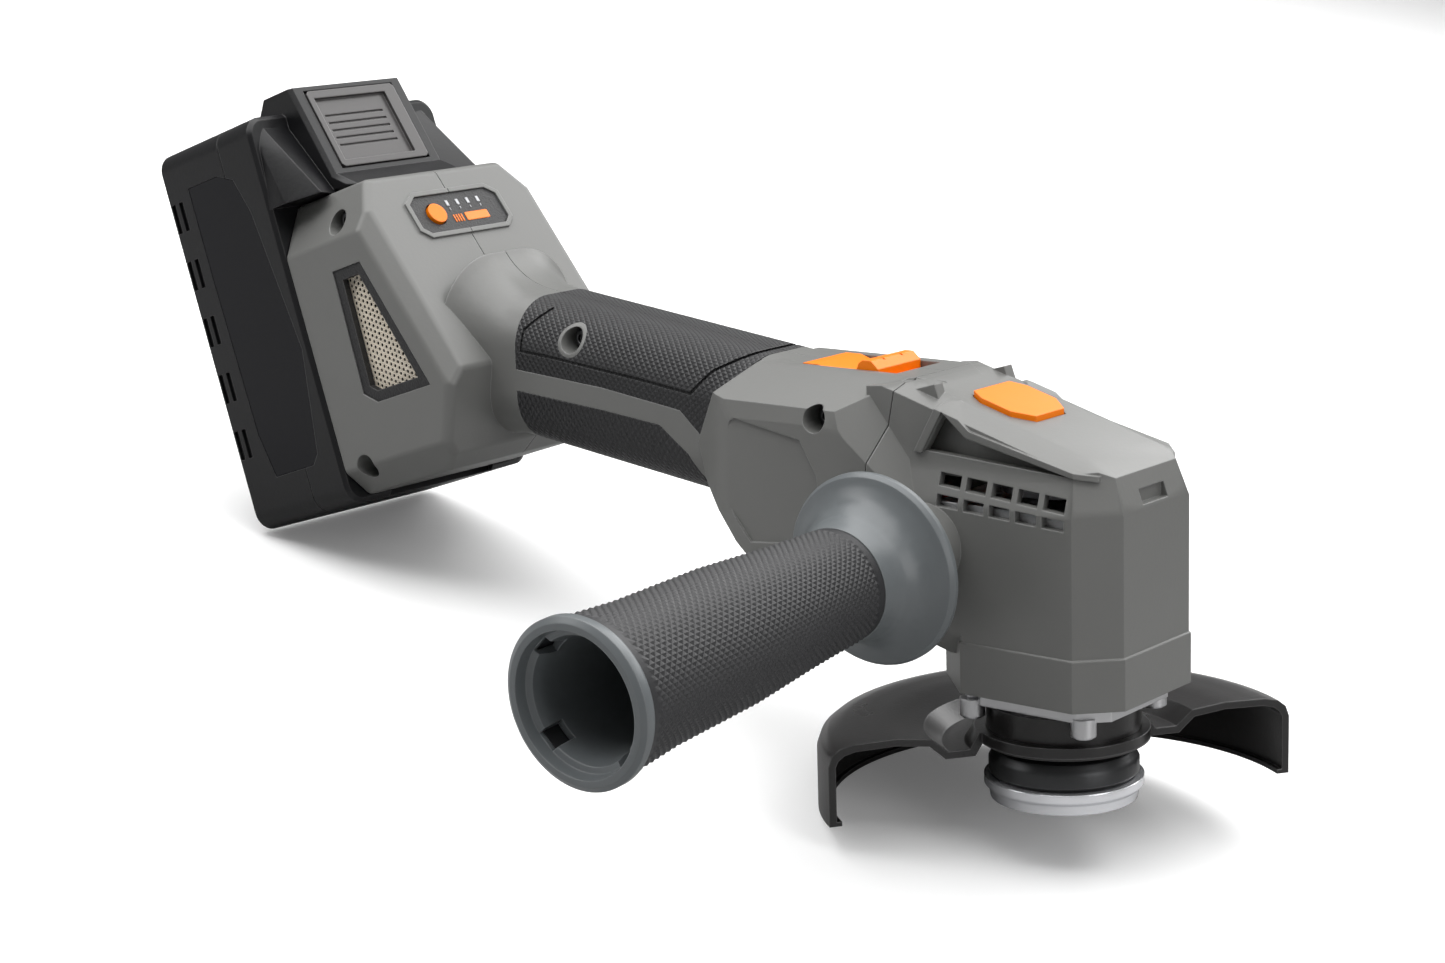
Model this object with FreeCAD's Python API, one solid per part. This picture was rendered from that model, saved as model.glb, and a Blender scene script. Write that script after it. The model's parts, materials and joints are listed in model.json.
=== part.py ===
import FreeCAD, Part
import math
import os
from FreeCAD import Vector as V

# Cordless direct-drive angle grinder with a half guard for 115 mm wheels, a side handle and a slide-on battery.
#
# Everything is drawn in the tool frame: origin on the spindle axis at the plane that the wheel seats on,
# +X towards the front of the head, +Y to the user's left, +Z along the spindle, away from the wheel.
# The finished pieces are turned about Y at the end, so that the part lies as it does on a bench:
# on the rear of the guard's rim and on the lower rear edge of the battery, with the bench level.
#
# The battery and the rear housing are drawn in their own leaning frame: s runs down along the slide,
# w runs forward out of the battery's mating face and y is the tool's Y.

# ------------------------------------------------------------------ driving dimensions, millimetres
wall = 2.4                 # moulded shells
seam = 0.3                 # joint line between two mouldings of the housing
gap = 0.4                  # air between pieces that move past each other
fit = 0.04                 # radial clearance of a running fit
touch = 0.02               # air between pieces that only rest against each other
big = 600.0                # size of a cutting block

# head, an upright octagon around the motor
head_front = 28.2          # spindle axis to the front face
head_half_width = 25.0
head_front_chamfer = 9.3
head_rear_flat = 14.6      # spindle axis to the rear end of the flat sides
head_rear_chamfer = 14.7
head_bottom = 24.6
head_shoulder = 74.2       # top of the upright walls
band_top = 83.6            # top of the sloping band above the shoulder
band_inset = 3.2
plateau_front = (17.0, 87.8)
plateau_rear = (-30.0, 101.6)
plateau_half_width = 14.3
pocket_depth_y = 17.2      # distance of the side pockets' inner wall from the middle
step_height = 13.6         # the foot of the head's walls, up to the step
step_proud = 0.5
fin_thickness = 3.6

# body between the head and the handle
body_half_width = 30.5
body_top = 103.2
body_top_half_width = 13.5
body_crease = (29.2, 95.6)   # where the upper facet meets the side
body_groove_top = (-88.5, body_top)
body_groove_mid = (-104.0, 81.0)
body_low_rear = (-98.5, 70.5)
body_low_mid = (-81.0, 54.5)
joint_top = -36.6          # joint of body and head cover at the top
joint_side = (-41.0, 82.0)

# handle
handle_width = 41.0
handle_height = 42.0
handle_round = 14.4
handle_rear = (-186.0, 116.5)    # top line of the handle
handle_front = (-88.0, 104.0)
rubber_rear = -172.5
rubber_low_front = -99.5      # front end of the rubber under the handle
rubber_low_top = 66.0         # below this height the rubber ends there
rubber = 2.0
loop_width = 0.9           # groove that runs round the upper rubber on each side
loop_depth = 0.7

# battery and the frame that leans with it
lean = 17.87
battery_centre = (-242.9, 109.3)   # x and z of the middle of the battery's mating face
battery_length = 119.3
battery_width = 78.0
battery_depth = 47.2
battery_wall = 2.2
battery_round = 6.0
parting = -16.0            # the case's joint line, measured like w
channel_half = 26.0        # the slideway's half width behind its lips
channel_lip = 4.0
channel_depth = 5.2
lip_thickness = 2.2
channel_top = -22.0
cell_radius = 9.2
cell_length = 65.0
cell_pitch = 19.4
cell_rows = 5

# rear housing
bell_top = -31.0
bell_bottom = 58.0
bell_half_width = 38.0
bell_slope = 0.375
bell_nose = 43.0           # the front slope's height over the mating face at s = 0
bell_corner = 6.0

# latch on the battery's nose
nose_top = -66.0
nose_foot = 21.6
latch_size = (36.0, 26.5, 2.6)
latch_travel = 2.6

# vents, controls
vent_left = 17.0
vent_top = -7.5
vent_bottom = 33.0
vent_top_width = 12.5
vent_bottom_width = 27.5
panel_width = 36.0
panel_at = -16.5           # s of the panel's middle
mode_radius = 3.3
mode_travel = 0.8
mode_offset = -9.6         # across the panel, from its middle

# slide switch
switch_rear = -76.0
switch_length = 25.0
switch_half_width = 9.6
switch_travel = 6.0
switch_box_rear = -83.0    # rear face of the microswitch

# spindle lock
lock_button = (18.0, 21.0, 3.0)
lock_at = -12.5
lock_travel = 3.0
lock_pin_radius = 2.5

# motor and spindle
journal_radius = 7.5       # in the lower bearing
shaft_radius = 6.0         # in the fan and the rotor
shoulder_radius = 9.5
thread_radius = 7.0
thread_end = -9.6
spindle_top = 80.0
upper_journal = 4.0
flange_radius = 19.7
flange_height = 8.0
pilot_radius = 11.1
nut_radius = 20.9
nut_height = 6.2
stator_radius = 21.4
stator_height = 22.0
stator_low = 36.0
rotor_radius = 11.8
air_gap = 0.6
tooth_count = 9
fan_low = 27.5
fan_height = 6.0
fan_radius = 20.4
fan_blades = 11
lower_bearing = (16.0, 9.0)      # outside radius, width
upper_bearing = (11.0, 7.0)
upper_bearing_low = 66.0
lock_ring = (16.0, 76.0, 3.5)    # radius, height of the underside, thickness
lock_hole_count = 4

# spindle housing and guard
housing_plate = 4.2
plate_inset = 5.0          # from the head's outline
neck_radius = 18.0
neck_low = 10.2
boss_at = 17.0             # x and y of each of the four bosses
boss_radius = 3.3
boss_low = 16.6
guard_radius = 64.6
guard_sheet = 2.0
guard_rim_low = -8.1
guard_plateau = 12.7
guard_plateau_radius = 23.4
guard_front_radius = 22.6   # what is left round the neck on the open side
guard_groove = 8.6
guard_groove_radius = 30.5
guard_dome = 13.0
guard_turn = 35.0          # the open side points this far to the right of straight ahead

# side handle
handle_droop = 3.5
handle_sweep = 1.4
side_at = (-26.0, 64.0)    # x and z of its axis where it crosses the middle of the tool
side_flange = 48.3         # along its axis, from the middle of the tool to the disc
side_flange_radius = 25.0
side_end = 163.6
side_end_radius = 20.4
stud_radius = 4.0
stud_reach = 14.0
insert_radius = 6.5
insert_length = 15.0
boss_side_radius = 11.0

# ------------------------------------------------------------------ helpers
lean_rad = math.radians(lean)
down = V(math.sin(lean_rad), 0, -math.cos(lean_rad))    # s
out = V(math.cos(lean_rad), 0, math.sin(lean_rad))      # w
battery_origin = V(battery_centre[0], 0, battery_centre[1])


def leaning(shape):
    """Takes a shape drawn with X = w, Y = y and Z = -s to its place on the tool."""
    placed = shape.copy()
    placed.rotate(V(0, 0, 0), V(0, 1, 0), -lean)
    placed.translate(battery_origin)
    return placed


def face(points):
    return Part.Face(Part.makePolygon([*points, points[0]]))


def prism_xz(points, half_width):
    """A prism along Y with an outline of (x, z) points."""
    return face([V(x, -half_width, z) for x, z in points]).extrude(V(0, 2 * half_width, 0))


def prism_yz(points, x0, x1):
    return face([V(x0, y, z) for y, z in points]).extrude(V(x1 - x0, 0, 0))


def prism_xy(points, z0, z1):
    return face([V(x, y, z0) for x, y in points]).extrude(V(0, 0, z1 - z0))


def both(points):
    """Mirrors a half outline, given from +y downwards, to the other side."""
    return [*points, *[(-y, z) for y, z in reversed(points)]]


def both_plan(points):
    return [*points, *[(x, -y) for x, y in reversed(points)]]


def inset(points, distance):
    """Moves every edge of a closed outline inwards by a distance."""
    if distance == 0:
        return list(points)
    n = len(points)
    turn = sum(points[i][0] * points[(i + 1) % n][1] - points[(i + 1) % n][0] * points[i][1] for i in range(n))
    side = 1.0 if turn > 0 else -1.0
    lines = []
    for i in range(n):
        (ax, ay), (bx, by) = points[i], points[(i + 1) % n]
        length = math.hypot(bx - ax, by - ay)
        nx, ny = -(by - ay) / length * side, (bx - ax) / length * side
        lines.append((nx, ny, nx * ax + ny * ay + distance))
    moved = []
    for i in range(n):
        a1, b1, c1 = lines[i - 1]
        a2, b2, c2 = lines[i]
        det = a1 * b2 - a2 * b1
        moved.append(((c1 * b2 - c2 * b1) / det, (a1 * c2 - a2 * c1) / det))
    return moved


def common_of(*shapes):
    result = shapes[0]
    for shape in shapes[1:]:
        result = result.common(shape)
    return result


def trimmed(shape, point, normal, distance=0.0):
    """Cuts off what lies beyond a plane; distance moves the plane inwards."""
    n = V(*normal).normalize()
    block = Part.makeBox(big, big, big, V(-big / 2, -big / 2, 0))
    block.Placement = FreeCAD.Placement(V(*point) - n * distance, FreeCAD.Rotation(V(0, 0, 1), n))
    return shape.cut(block)


def box(x0, x1, y0, y1, z0, z1):
    return Part.makeBox(x1 - x0, y1 - y0, z1 - z0, V(x0, y0, z0))


def disc(radius, z0, z1, x=0.0, y=0.0):
    return Part.makeCylinder(radius, z1 - z0, V(x, y, z0))


def ring(outer, inner, z0, z1):
    return disc(outer, z0, z1).cut(disc(inner, z0 - 1, z1 + 1))


def turned(profile, angle=360.0):
    """A solid of revolution about Z from (radius, z) points."""
    return face([V(r, 0, z) for r, z in profile]).revolve(V(0, 0, 0), V(0, 0, 1), angle)


def rounded(shape, radius, wanted):
    """Fillets the edges for which wanted(edge) is true."""
    return shape.makeFillet(radius, [e for e in shape.Edges if wanted(e)])


def along_y(edge):
    a, b = edge.Vertexes[0].Point, edge.Vertexes[-1].Point
    return abs(a.x - b.x) < 1e-6 and abs(a.z - b.z) < 1e-6 and abs(a.y - b.y) > 1e-6


def along(edge, axis):
    a, b = edge.Vertexes[0].Point, edge.Vertexes[-1].Point
    d = b - a
    return d.Length > 1e-6 and abs(abs(d.normalize().dot(axis)) - 1) < 1e-4


def mirrored(shape):
    return shape.mirror(V(0, 0, 0), V(0, 1, 0))


def group(shapes):
    return Part.makeCompound(shapes)


def section(x, z_middle, half_width, half_height, radius):
    """A rounded rectangle across the handle."""
    a, b, r = half_width, half_height, radius
    k = r * (1 - math.sqrt(0.5))
    corners = [
        (V(x, a - r, z_middle + b), V(x, a - k, z_middle + b - k), V(x, a, z_middle + b - r)),
        (V(x, a, z_middle - b + r), V(x, a - k, z_middle - b + k), V(x, a - r, z_middle - b)),
        (V(x, -a + r, z_middle - b), V(x, -a + k, z_middle - b + k), V(x, -a, z_middle - b + r)),
        (V(x, -a, z_middle + b - r), V(x, -a + k, z_middle + b - k), V(x, -a + r, z_middle + b)),
    ]
    edges = []
    for i, (start, middle, end) in enumerate(corners):
        edges.append(Part.Arc(start, middle, end).toShape())
        edges.append(Part.LineSegment(end, corners[(i + 1) % 4][0]).toShape())
    return Part.Wire(edges)


# ------------------------------------------------------------------ outer forms, each with an inner offset
handle_slope = (handle_rear[1] - handle_front[1]) / (handle_front[0] - handle_rear[0])


def handle_top(x):
    return handle_rear[1] - (x - handle_rear[0]) * handle_slope


def handle_middle(x):
    return handle_top(x) - handle_height / 2


def handle_form(d=0.0, x1=-78.0):
    """The handle's outer form; it flares where it runs into the rear housing."""
    flare_start = rubber_rear - 4.0
    a, b, r = handle_width / 2 - d, handle_height / 2 - d, handle_round - d
    tube = Part.Face(section(x1, handle_middle(x1), a, b, r))
    tube = tube.extrude(V(flare_start - x1, 0, handle_middle(flare_start) - handle_middle(x1)))
    wires = []
    for back, flare in ((0.0, 0.0), (7.0, 1.0), (13.0, 3.6), (18.0, 8.0)):
        x = flare_start - back
        wires.append(section(x, handle_middle(x), a + flare, b + flare, r + flare))
    return tube.fuse(Part.makeLoft(wires, True, False))


def head_plan():
    return both_plan([
        (head_front, head_half_width - head_front_chamfer),
        (head_front - head_front_chamfer, head_half_width),
        (-head_rear_flat, head_half_width),
        (-head_rear_flat - head_rear_chamfer, head_half_width - head_rear_chamfer),
    ])


def head_upper_plan():
    """Above the body's underside the head's flat sides run on to the joint."""
    return both_plan([
        (head_front, head_half_width - head_front_chamfer),
        (head_front - head_front_chamfer, head_half_width),
        (joint_side[0] - 8, head_half_width),
    ])


def head_form(d=0.0):
    plan = inset(head_plan(), d)
    upper = inset(head_upper_plan(), d)
    lid = inset(head_upper_plan(), band_inset + d)
    walls = prism_xy(plan, head_bottom - (1.0 if d else 0.0), head_shoulder)
    walls = walls.fuse(prism_xy(upper, head_bottom + 30, head_shoulder))
    low = Part.makePolygon([V(x, y, head_shoulder) for x, y in [*upper, upper[0]]])
    high = Part.makePolygon([V(x, y, band_top) for x, y in [*lid, lid[0]]])
    band = Part.makeLoft([low, high], True, True)
    roof = prism_xy(lid, band_top, band_top + 30)
    form = walls.fuse(band).fuse(roof)
    rise = math.atan2(plateau_rear[1] - plateau_front[1], plateau_front[0] - plateau_rear[0])
    form = trimmed(form, (plateau_front[0], 0, plateau_front[1]), (math.sin(rise), 0, math.cos(rise)), d)
    bevel_front = head_front - band_inset
    form = trimmed(
        form, (bevel_front, 0, band_top), (plateau_front[1] - band_top, 0, bevel_front - plateau_front[0]), d)
    form = trimmed(form, (joint_top, 0, body_top - 0.6), (-0.1, 0, 1), d)
    for side in (-1, 1):
        a = V(plateau_rear[0], side * plateau_half_width, plateau_rear[1])
        b = V(plateau_front[0], side * plateau_half_width, plateau_front[1])
        c = V(head_front - 6.0, side * (head_half_width - band_inset), band_top)
        n = (b - a).cross(c - a)
        if n.z < 0:
            n = n * -1
        form = trimmed(form, tuple(a), tuple(n), d)
    return form


def body_form(d=0.0):
    low_front = (-20.0, 34.0)
    side = [
        (body_groove_top[0], body_top), (joint_top, body_top), (joint_top + 6, body_top - 1.0), (-12.0, body_top - 14.0),
        (-12.0, low_front[1]), low_front, body_low_mid, body_low_rear, body_groove_mid,
    ]
    cross = both([
        (body_top_half_width, body_top), body_crease, (body_half_width, body_crease[1] - 4.5), (body_half_width, 52.0), (20.0, 30.0),
    ])
    plan = both_plan([
        (-10.0, head_half_width), (-20.0, head_half_width), (-47.0, body_half_width), (-84.0, body_half_width),
        (-92.0, body_half_width - 2.6), (body_groove_mid[0] - 1.5, handle_width / 2),
    ])
    form = common_of(
        prism_xz(inset(side, d), 60), prism_yz(inset(cross, d), -130, 20), prism_xy(inset(plan, d), 10, 120))
    for side_sign in (-1, 1):
        form = trimmed(form, (-49.5, side_sign * 30.0, 92.8), (0.57, side_sign * 0.683, 0.451), d)
    return form


def bell_profile():
    """Side view of the rear housing, in (w, -s)."""
    return [
        (0.0, -bell_bottom), (36.0, -bell_bottom), (43.5, -54.0), (50.0, -41.0),
        (bell_nose + bell_slope * 31.0, -31.0), (bell_nose + bell_slope * bell_top, -bell_top), (0.0, -bell_top),
    ]


def bell_section():
    return both([
        (28.0, -bell_top), (bell_half_width, -bell_top - 15.0), (bell_half_width, -50.0), (31.0, -bell_bottom),
    ])


def bell_form(d=0.0, radius=3.0):
    """The rear housing around the battery dock. Its edges are rounded."""
    start = 0.0 if d == 0 else -1.0
    side = [(w, z) for w, z in inset(bell_profile(), d)]
    side = [(start if w < 2 * max(d, 0.1) else w, z) for w, z in side]
    form = common_of(prism_xz(side, 60), prism_yz(inset(bell_section(), d), -5, 80))
    for sign in (-1, 1):
        normal = (1.0, sign * 0.95, bell_slope)
        form = trimmed(form, (bell_nose - 4.6, sign * (bell_half_width - 0.0), 0), normal, d)
    if d == 0:
        form = rounded(form, radius, lambda e: e.CenterOfMass.x > 1.0)
    return leaning(form)


def skin(d=0.0):
    """The whole housing's outer form, or the hollow inside it at a wall thickness d, which leaves room for the rubber."""
    under_rubber = d + rubber if d else 0.0
    return bell_form(d).fuse(handle_form(under_rubber)).fuse(body_form(d)).fuse(head_form(d))


def before_joint(extra=0.0):
    """The space behind the joint between body and head cover; extra moves the joint forward."""
    x_top, (x_side, z_side) = joint_top + extra, (joint_side[0] + extra, joint_side[1])
    return prism_xz([(x_top, body_top), (x_top + 2.2, 220), (-340, 220), (-340, 0), (x_side, 0), (x_side, z_side)], 90)


# ------------------------------------------------------------------ shared places
side_axis = V(math.sin(math.radians(handle_sweep)), -1, -math.sin(math.radians(handle_droop)))
side_axis.normalize()
side_origin = V(side_at[0], 0, side_at[1])
plateau_pitch = math.degrees(math.atan2(plateau_rear[1] - plateau_front[1], plateau_front[0] - plateau_rear[0]))


def plateau_z(x):
    return plateau_front[1] + (plateau_front[0] - x) * math.tan(math.radians(plateau_pitch))


def on_side_axis(shape):
    """Takes a shape drawn about Z from 0 upwards to the side handle's axis, away from the tool."""
    placed = shape.copy()
    placed.Placement = FreeCAD.Placement(side_origin, FreeCAD.Rotation(V(0, 0, 1), side_axis)).multiply(placed.Placement)
    return placed


def on_panel(shape):
    """Takes a shape drawn on XY (X along Y of the tool, Y up the slope, Z outwards) to the control panel's slope."""
    placed = shape.copy()
    up = (out * -bell_slope - down).normalize()
    normal = (out - down * bell_slope).normalize()
    across = up.cross(normal)
    place = FreeCAD.Matrix(
        across.x, up.x, normal.x, 0, across.y, up.y, normal.y, 0, across.z, up.z, normal.z, 0, 0, 0, 0, 1)
    middle = battery_origin + down * panel_at + out * (bell_nose + bell_slope * panel_at)
    place.move(middle)
    placed.Placement = FreeCAD.Placement(place).multiply(placed.Placement)
    return placed


nodes = {}


def keep(name, shape):
    nodes[name] = shape.removeSplitter() if shape.ShapeType != "Compound" or len(shape.Solids) == 1 else shape


# ------------------------------------------------------------------ small standard pieces
def screw(head_radius, head_height, shank_radius, length):
    """A round-headed screw along -Z with its head on top of z = 0 and a six-lobe-like socket."""
    head = turned([(0, 0), (head_radius, 0), (head_radius, head_height * 0.6), (head_radius * 0.7, head_height), (0, head_height)])
    socket = disc(head_radius * 0.45, head_height * 0.35, head_height + 1)
    return head.fuse(disc(shank_radius, -length, 0)).cut(socket)


def side_screw(x, z, y):
    """A housing screw that goes in from the right side, with its head at y."""
    placed = screw(3.0, 2.0, 1.5, 10.0)
    placed.rotate(V(0, 0, 0), V(1, 0, 0), 90)
    placed.translate(V(x, y, z))
    return placed


def leaning_point(s, w):
    p = battery_origin + down * s + out * w
    return p.x, p.z


# x, z and the depth from the middle at which each housing screw's head sits
screw_places = [
    (*leaning_point(-21.0, 22.0), bell_half_width - 9.0),
    (*leaning_point(50.0, 9.0), bell_half_width - 9.0),
    (-152.0, handle_top(-152.0) - 7.5, handle_width / 2 - 8.0),
    (-57.0, 96.5 - 3.5, body_half_width - 8.0),
]


def screw_wells(radius=3.6):
    """The wells on the right side, open to the outside."""
    wells = []
    for x, z, y in screw_places:
        wells.append(Part.makeCylinder(radius, 60, V(x, -y, z), V(0, -1, 0)))
    return wells


def screw_posts(radius=4.7):
    posts = []
    for x, z, y in screw_places:
        posts.append(Part.makeCylinder(radius, 2 * y + 16, V(x, -y - 8, z), V(0, 1, 0)))
    return posts


# ------------------------------------------------------------------ housing halves, rubber grip and head cover
def strip_outline():
    """The bare strip between the two rubber areas on each side, in (x, z)."""
    z = 91.8
    return [
        (rubber_rear - 0.5, z + 3.2), (-140, z + 0.8), (-111, z - 3.0), (-100, z - 12.5), (-96, z - 19), (-96, z - 34),
        (-103.5, z - 23.5), (-108.5, z - 15.0), (-118.5, z - 7.8), (-140, z - 5.6), (rubber_rear - 0.5, z - 3.0),
    ]


def rubber_zone():
    """The space that the rubber fills on the handle: from its rear end to the groove, without the strip."""
    front, low_top = body_groove_mid[0] - 0.8, rubber_low_top
    zone = prism_xz([
        (rubber_rear, 140), (rubber_rear, 40), (rubber_low_front, 40), (rubber_low_front, low_top), (front, low_top),
        (front, body_groove_mid[1]), (body_groove_top[0] - 0.8, body_top), (body_groove_top[0] + 2.5, 140),
    ], 60)
    return zone.cut(prism_xz(strip_outline(), 60))


def panel_outline(margin=0.0):
    """The control panel's outline across and up the slope; a margin makes it larger."""
    half, low, high = panel_width / 2, -6.2, 6.6
    points = [
        (-half, low + 2.0), (-half + 2.4, low), (half - 2.4, low), (half, low + 2.0),
        (half, high - 2.6), (half - 3.4, high), (-half + 3.4, high), (-half, high - 2.6),
    ]
    return inset(points, -margin)


def vent_outline(margin=0.0):
    """The rear vent's outline on the side of the housing, in (w, -s); a margin makes it smaller."""
    points = [
        (vent_left + 0.5, -vent_top), (vent_left + 0.5 + vent_top_width, -vent_top),
        (vent_left + 0.5 + vent_bottom_width, -vent_bottom), (vent_left + 4.5, -vent_bottom), (vent_left - 0.5, -vent_bottom + 3.5),
    ]
    return inset(points, margin)


def vent_slab(margin, y0, y1):
    """A slab with the vent's outline between two distances from the middle, on the right side."""
    outline = face([V(w, 0, z) for w, z in vent_outline(margin)])
    slab = outline.extrude(V(0, y1 - y0, 0))
    slab.translate(V(0, -y1, 0))
    return leaning(slab)


def both_sides(shape):
    return [shape, mirrored(shape)]


switch_well = [
    (switch_rear - gap, body_top + 20), (switch_rear - gap, body_top - 9), (switch_rear + switch_length + switch_travel + gap, body_top - 9),
    (switch_rear + switch_length + switch_travel + gap, body_top + 20),
]
body_panel = [
    (-85.6, 89.8), (-83.5, 90.9), (-61.6, 87.1), (-56.3, 78.1), (-54.0, 60.0), (-79.0, 57.6), (-89.0, 69.5), (-89.5, 76.0),
]

hull = skin()
hollow = skin(wall)
zone = rubber_zone()
rubber_space = handle_form().cut(handle_form(rubber)).common(zone)
shell = hull.cut(hollow).common(before_joint(-seam / 2))
rib_space = before_joint(-seam / 2).common(hull)
shell = shell.cut(rubber_space)
shell = shell.fuse(group(screw_posts()).common(rib_space))
for well in screw_wells():
    shell = shell.cut(well)
for x, z, y in screw_places:
    shell = shell.cut(Part.makeCylinder(1.5 + touch, 14, V(x, -y - 1, z), V(0, 1, 0)))
shell = shell.cut(prism_xz(switch_well, switch_half_width + gap))
for sign in (-1, 1):
    side_wall = prism_xz(body_panel, 10)
    side_wall.translate(V(0, sign * (body_half_width - 0.7 + 10), 0))
    shell = shell.cut(side_wall)
for slab in both_sides(vent_slab(0.0, bell_half_width - 5, bell_half_width + 5)):
    shell = shell.cut(slab)
panel_lip = on_panel(prism_xy(panel_outline(1.6), -1.0, 0.7))
panel_recess = on_panel(prism_xy(panel_outline(0.1), -1.2, 5))
mode_bore = on_panel(disc(mode_radius + gap, -10, 10, mode_offset))
shell = shell.fuse(panel_lip).cut(panel_recess).cut(mode_bore)
right = shell.common(box(-400, 100, -120, -seam / 2, -60, 220))
left = shell.common(box(-400, 100, seam / 2, 120, -60, 220))
keep("housing_right", right)
keep("housing_left", left)

rubber_skin = handle_form().cut(handle_form(rubber - touch))
grip_front, grip_low_front = body_groove_mid[0] - 1.2, rubber_low_front - 0.2
grip = rubber_skin.common(prism_xz([
    (rubber_rear + touch, 140), (rubber_rear + touch, 40), (grip_low_front, 40), (grip_low_front, rubber_low_top),
    (grip_front, rubber_low_top), (grip_front, body_groove_mid[1]), (body_groove_top[0] - 1.2, body_top),
    (body_groove_top[0] + 2.1, 140),
], 60)).cut(prism_xz(inset(strip_outline(), -touch), 60))
loop_line = [
    (-164.5, 112.0), (-170.0, 106.4), (-170.3, 100.5), (-156.4, 99.4), (-126.4, 96.2), (-107.0, 93.8), (-101.0, 100.2), (-92.0, 105.0),
]
loop_skin = handle_form().cut(handle_form(loop_depth))
for (x0, z0), (x1, z1) in zip(loop_line, loop_line[1:]):
    reach = math.hypot(x1 - x0, z1 - z0)
    along_x, along_z = (x1 - x0) / reach * loop_width / 2, (z1 - z0) / reach * loop_width / 2
    run = prism_xz([
        (x0 - along_x - along_z, z0 - along_z + along_x), (x1 + along_x - along_z, z1 + along_z + along_x),
        (x1 + along_x + along_z, z1 + along_z - along_x), (x0 - along_x + along_z, z0 - along_z - along_x),
    ], 60)
    grip = grip.cut(run.common(loop_skin))
for x, z, y in screw_places:
    grip = grip.cut(Part.makeCylinder(4.7 + touch, 80, V(x, -40, z), V(0, 1, 0)))
for name, y0, y1 in (("right", -60, -seam / 2), ("left", seam / 2, 60)):
    half = grip.common(box(-400, 100, y0, y1, -60, 220))
    for piece in half.Solids:
        place = "top" if piece.CenterOfMass.z > handle_middle(piece.CenterOfMass.x) else "bottom"
        keep(f"grip_{place}_{name}", piece)

# head cover
lock_outline = both_plan([
    (lock_at + lock_button[0] / 2, lock_button[1] / 2 - 4.0), (lock_at + lock_button[0] / 2 - 5.0, lock_button[1] / 2),
    (lock_at - lock_button[0] / 2 + 4.0, lock_button[1] / 2), (lock_at - lock_button[0] / 2, lock_button[1] / 2 - 2.4),
])
shelf = (81.4, 83.4)       # under the lock button's spring
cover = hull.cut(hollow).cut(before_joint(seam / 2))
foot = prism_xy(inset(head_plan(), -step_proud), head_bottom, head_bottom + step_height)
foot = rounded(foot, step_proud * 0.9, lambda e: e.CenterOfMass.z > head_bottom + step_height - 0.1)
cover = cover.fuse(foot.cut(prism_xy(inset(head_plan(), 1.0), head_bottom - 1, head_bottom + 20)))
proud = head_form(-0.9)
ridge = prism_xz([
    (-30.5, 86.0), (-23.2, 99.0), (-20.6, 99.0), (-13.2, 92.9), (22.5, 84.3), (22.5, 82.9), (-14.2, 91.1), (-21.6, 97.2), (-28.0, 86.0),
], 60)
ridge = ridge.common(proud).cut(box(-60, 60, -plateau_half_width - 0.6, plateau_half_width + 0.6, 0, 200))
cover = cover.fuse(ridge.cut(hollow))
ridge_pocket = [(-27.4, 86.6), (-21.6, 96.4), (-14.4, 90.6), (18.5, 83.9)]
for y0 in (-40, pocket_depth_y):
    pocket = prism_xz(ridge_pocket, 20)
    pocket.translate(V(0, y0 + 20 if y0 > 0 else -pocket_depth_y - 20, 0))
    cover = cover.cut(pocket)
pocket_back = prism_xz(inset(ridge_pocket, -1.6), pocket_depth_y)
cover = cover.fuse(pocket_back.cut(box(-60, 60, 1.8 - pocket_depth_y, pocket_depth_y - 1.8, 0, 200)).common(hull))
fin_outline = [(-36.3, 91.4), (-33.6, 101.1), (-27.2, 103.0), (-25.7, 98.9), (-31.6, 90.8)]
for sign in (-1, 1):
    fin = prism_xz(fin_outline, fin_thickness / 2)
    fin.translate(V(0, sign * (plateau_half_width + 1.6), 0))
    cover = cover.fuse(fin.cut(hollow))
for low, high in (((78.3, 75.1), (81.6, 78.9)), ((73.1, 70.8), (76.2, 73.6))):
    row = prism_xz([(-22.0, low[0]), (16.5, low[1]), (16.5, high[1]), (-22.0, high[0])], 40)
    row = row.cut(box(-60, 60, -20.5, 20.5, 0, 200))
    for i in range(4):
        x = -22.0 + (i + 1) * 7.9
        row = row.cut(box(x - 1.2, x + 0.4, -60, 60, 0, 200))
    cover = cover.cut(row)
cover = cover.cut(box(head_front - 2.6, head_front + 4, -6, 6, 75.6, 79.4))
cover = cover.fuse(box(lock_at - 7, lock_at + 7, -22, 22, *shelf).common(hull))
cover = cover.cut(prism_xy(inset(lock_outline, -gap), shelf[1] + 0.5, 130))
cover = cover.cut(disc(lock_pin_radius + fit, 70, 90, lock_at))
sleeve = ring(stator_radius + 1.8, stator_radius + touch, stator_low, stator_low + stator_height)
sleeve = sleeve.common(head_form(0.5))
ledges = box(-20, 16, 1 - head_half_width, head_half_width - 1, 69.0, 70.9).cut(box(-60, 60, -19.5, 19.5, 0, 200)).common(head_form(0.5))
cover = cover.fuse(sleeve).fuse(ledges)
for side_shape in both_sides(on_side_axis(disc(boss_side_radius, 20, 34))):
    cover = cover.fuse(side_shape.cut(disc(stator_radius + 0.1, 0, 200)))
for side_shape in both_sides(on_side_axis(disc(insert_radius + touch, 15, 60))):
    cover = cover.cut(side_shape)
post_height = (27.1, 33.9)
for sx in (-1, 1):
    for sy in (-1, 1):
        post = disc(3.2, *post_height, sx * boss_at, sy * boss_at)
        web = box(boss_at * math.sqrt(2), 33, -2.4, 2.4, *post_height)
        web.rotate(V(0, 0, 0), V(0, 0, 1), math.degrees(math.atan2(sy, sx)))
        cover = cover.fuse(post.fuse(web).common(head_form(0.5)))
        cover = cover.cut(disc(1.7, 20, 32, sx * boss_at, sy * boss_at))
keep("head_cover", cover)

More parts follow.
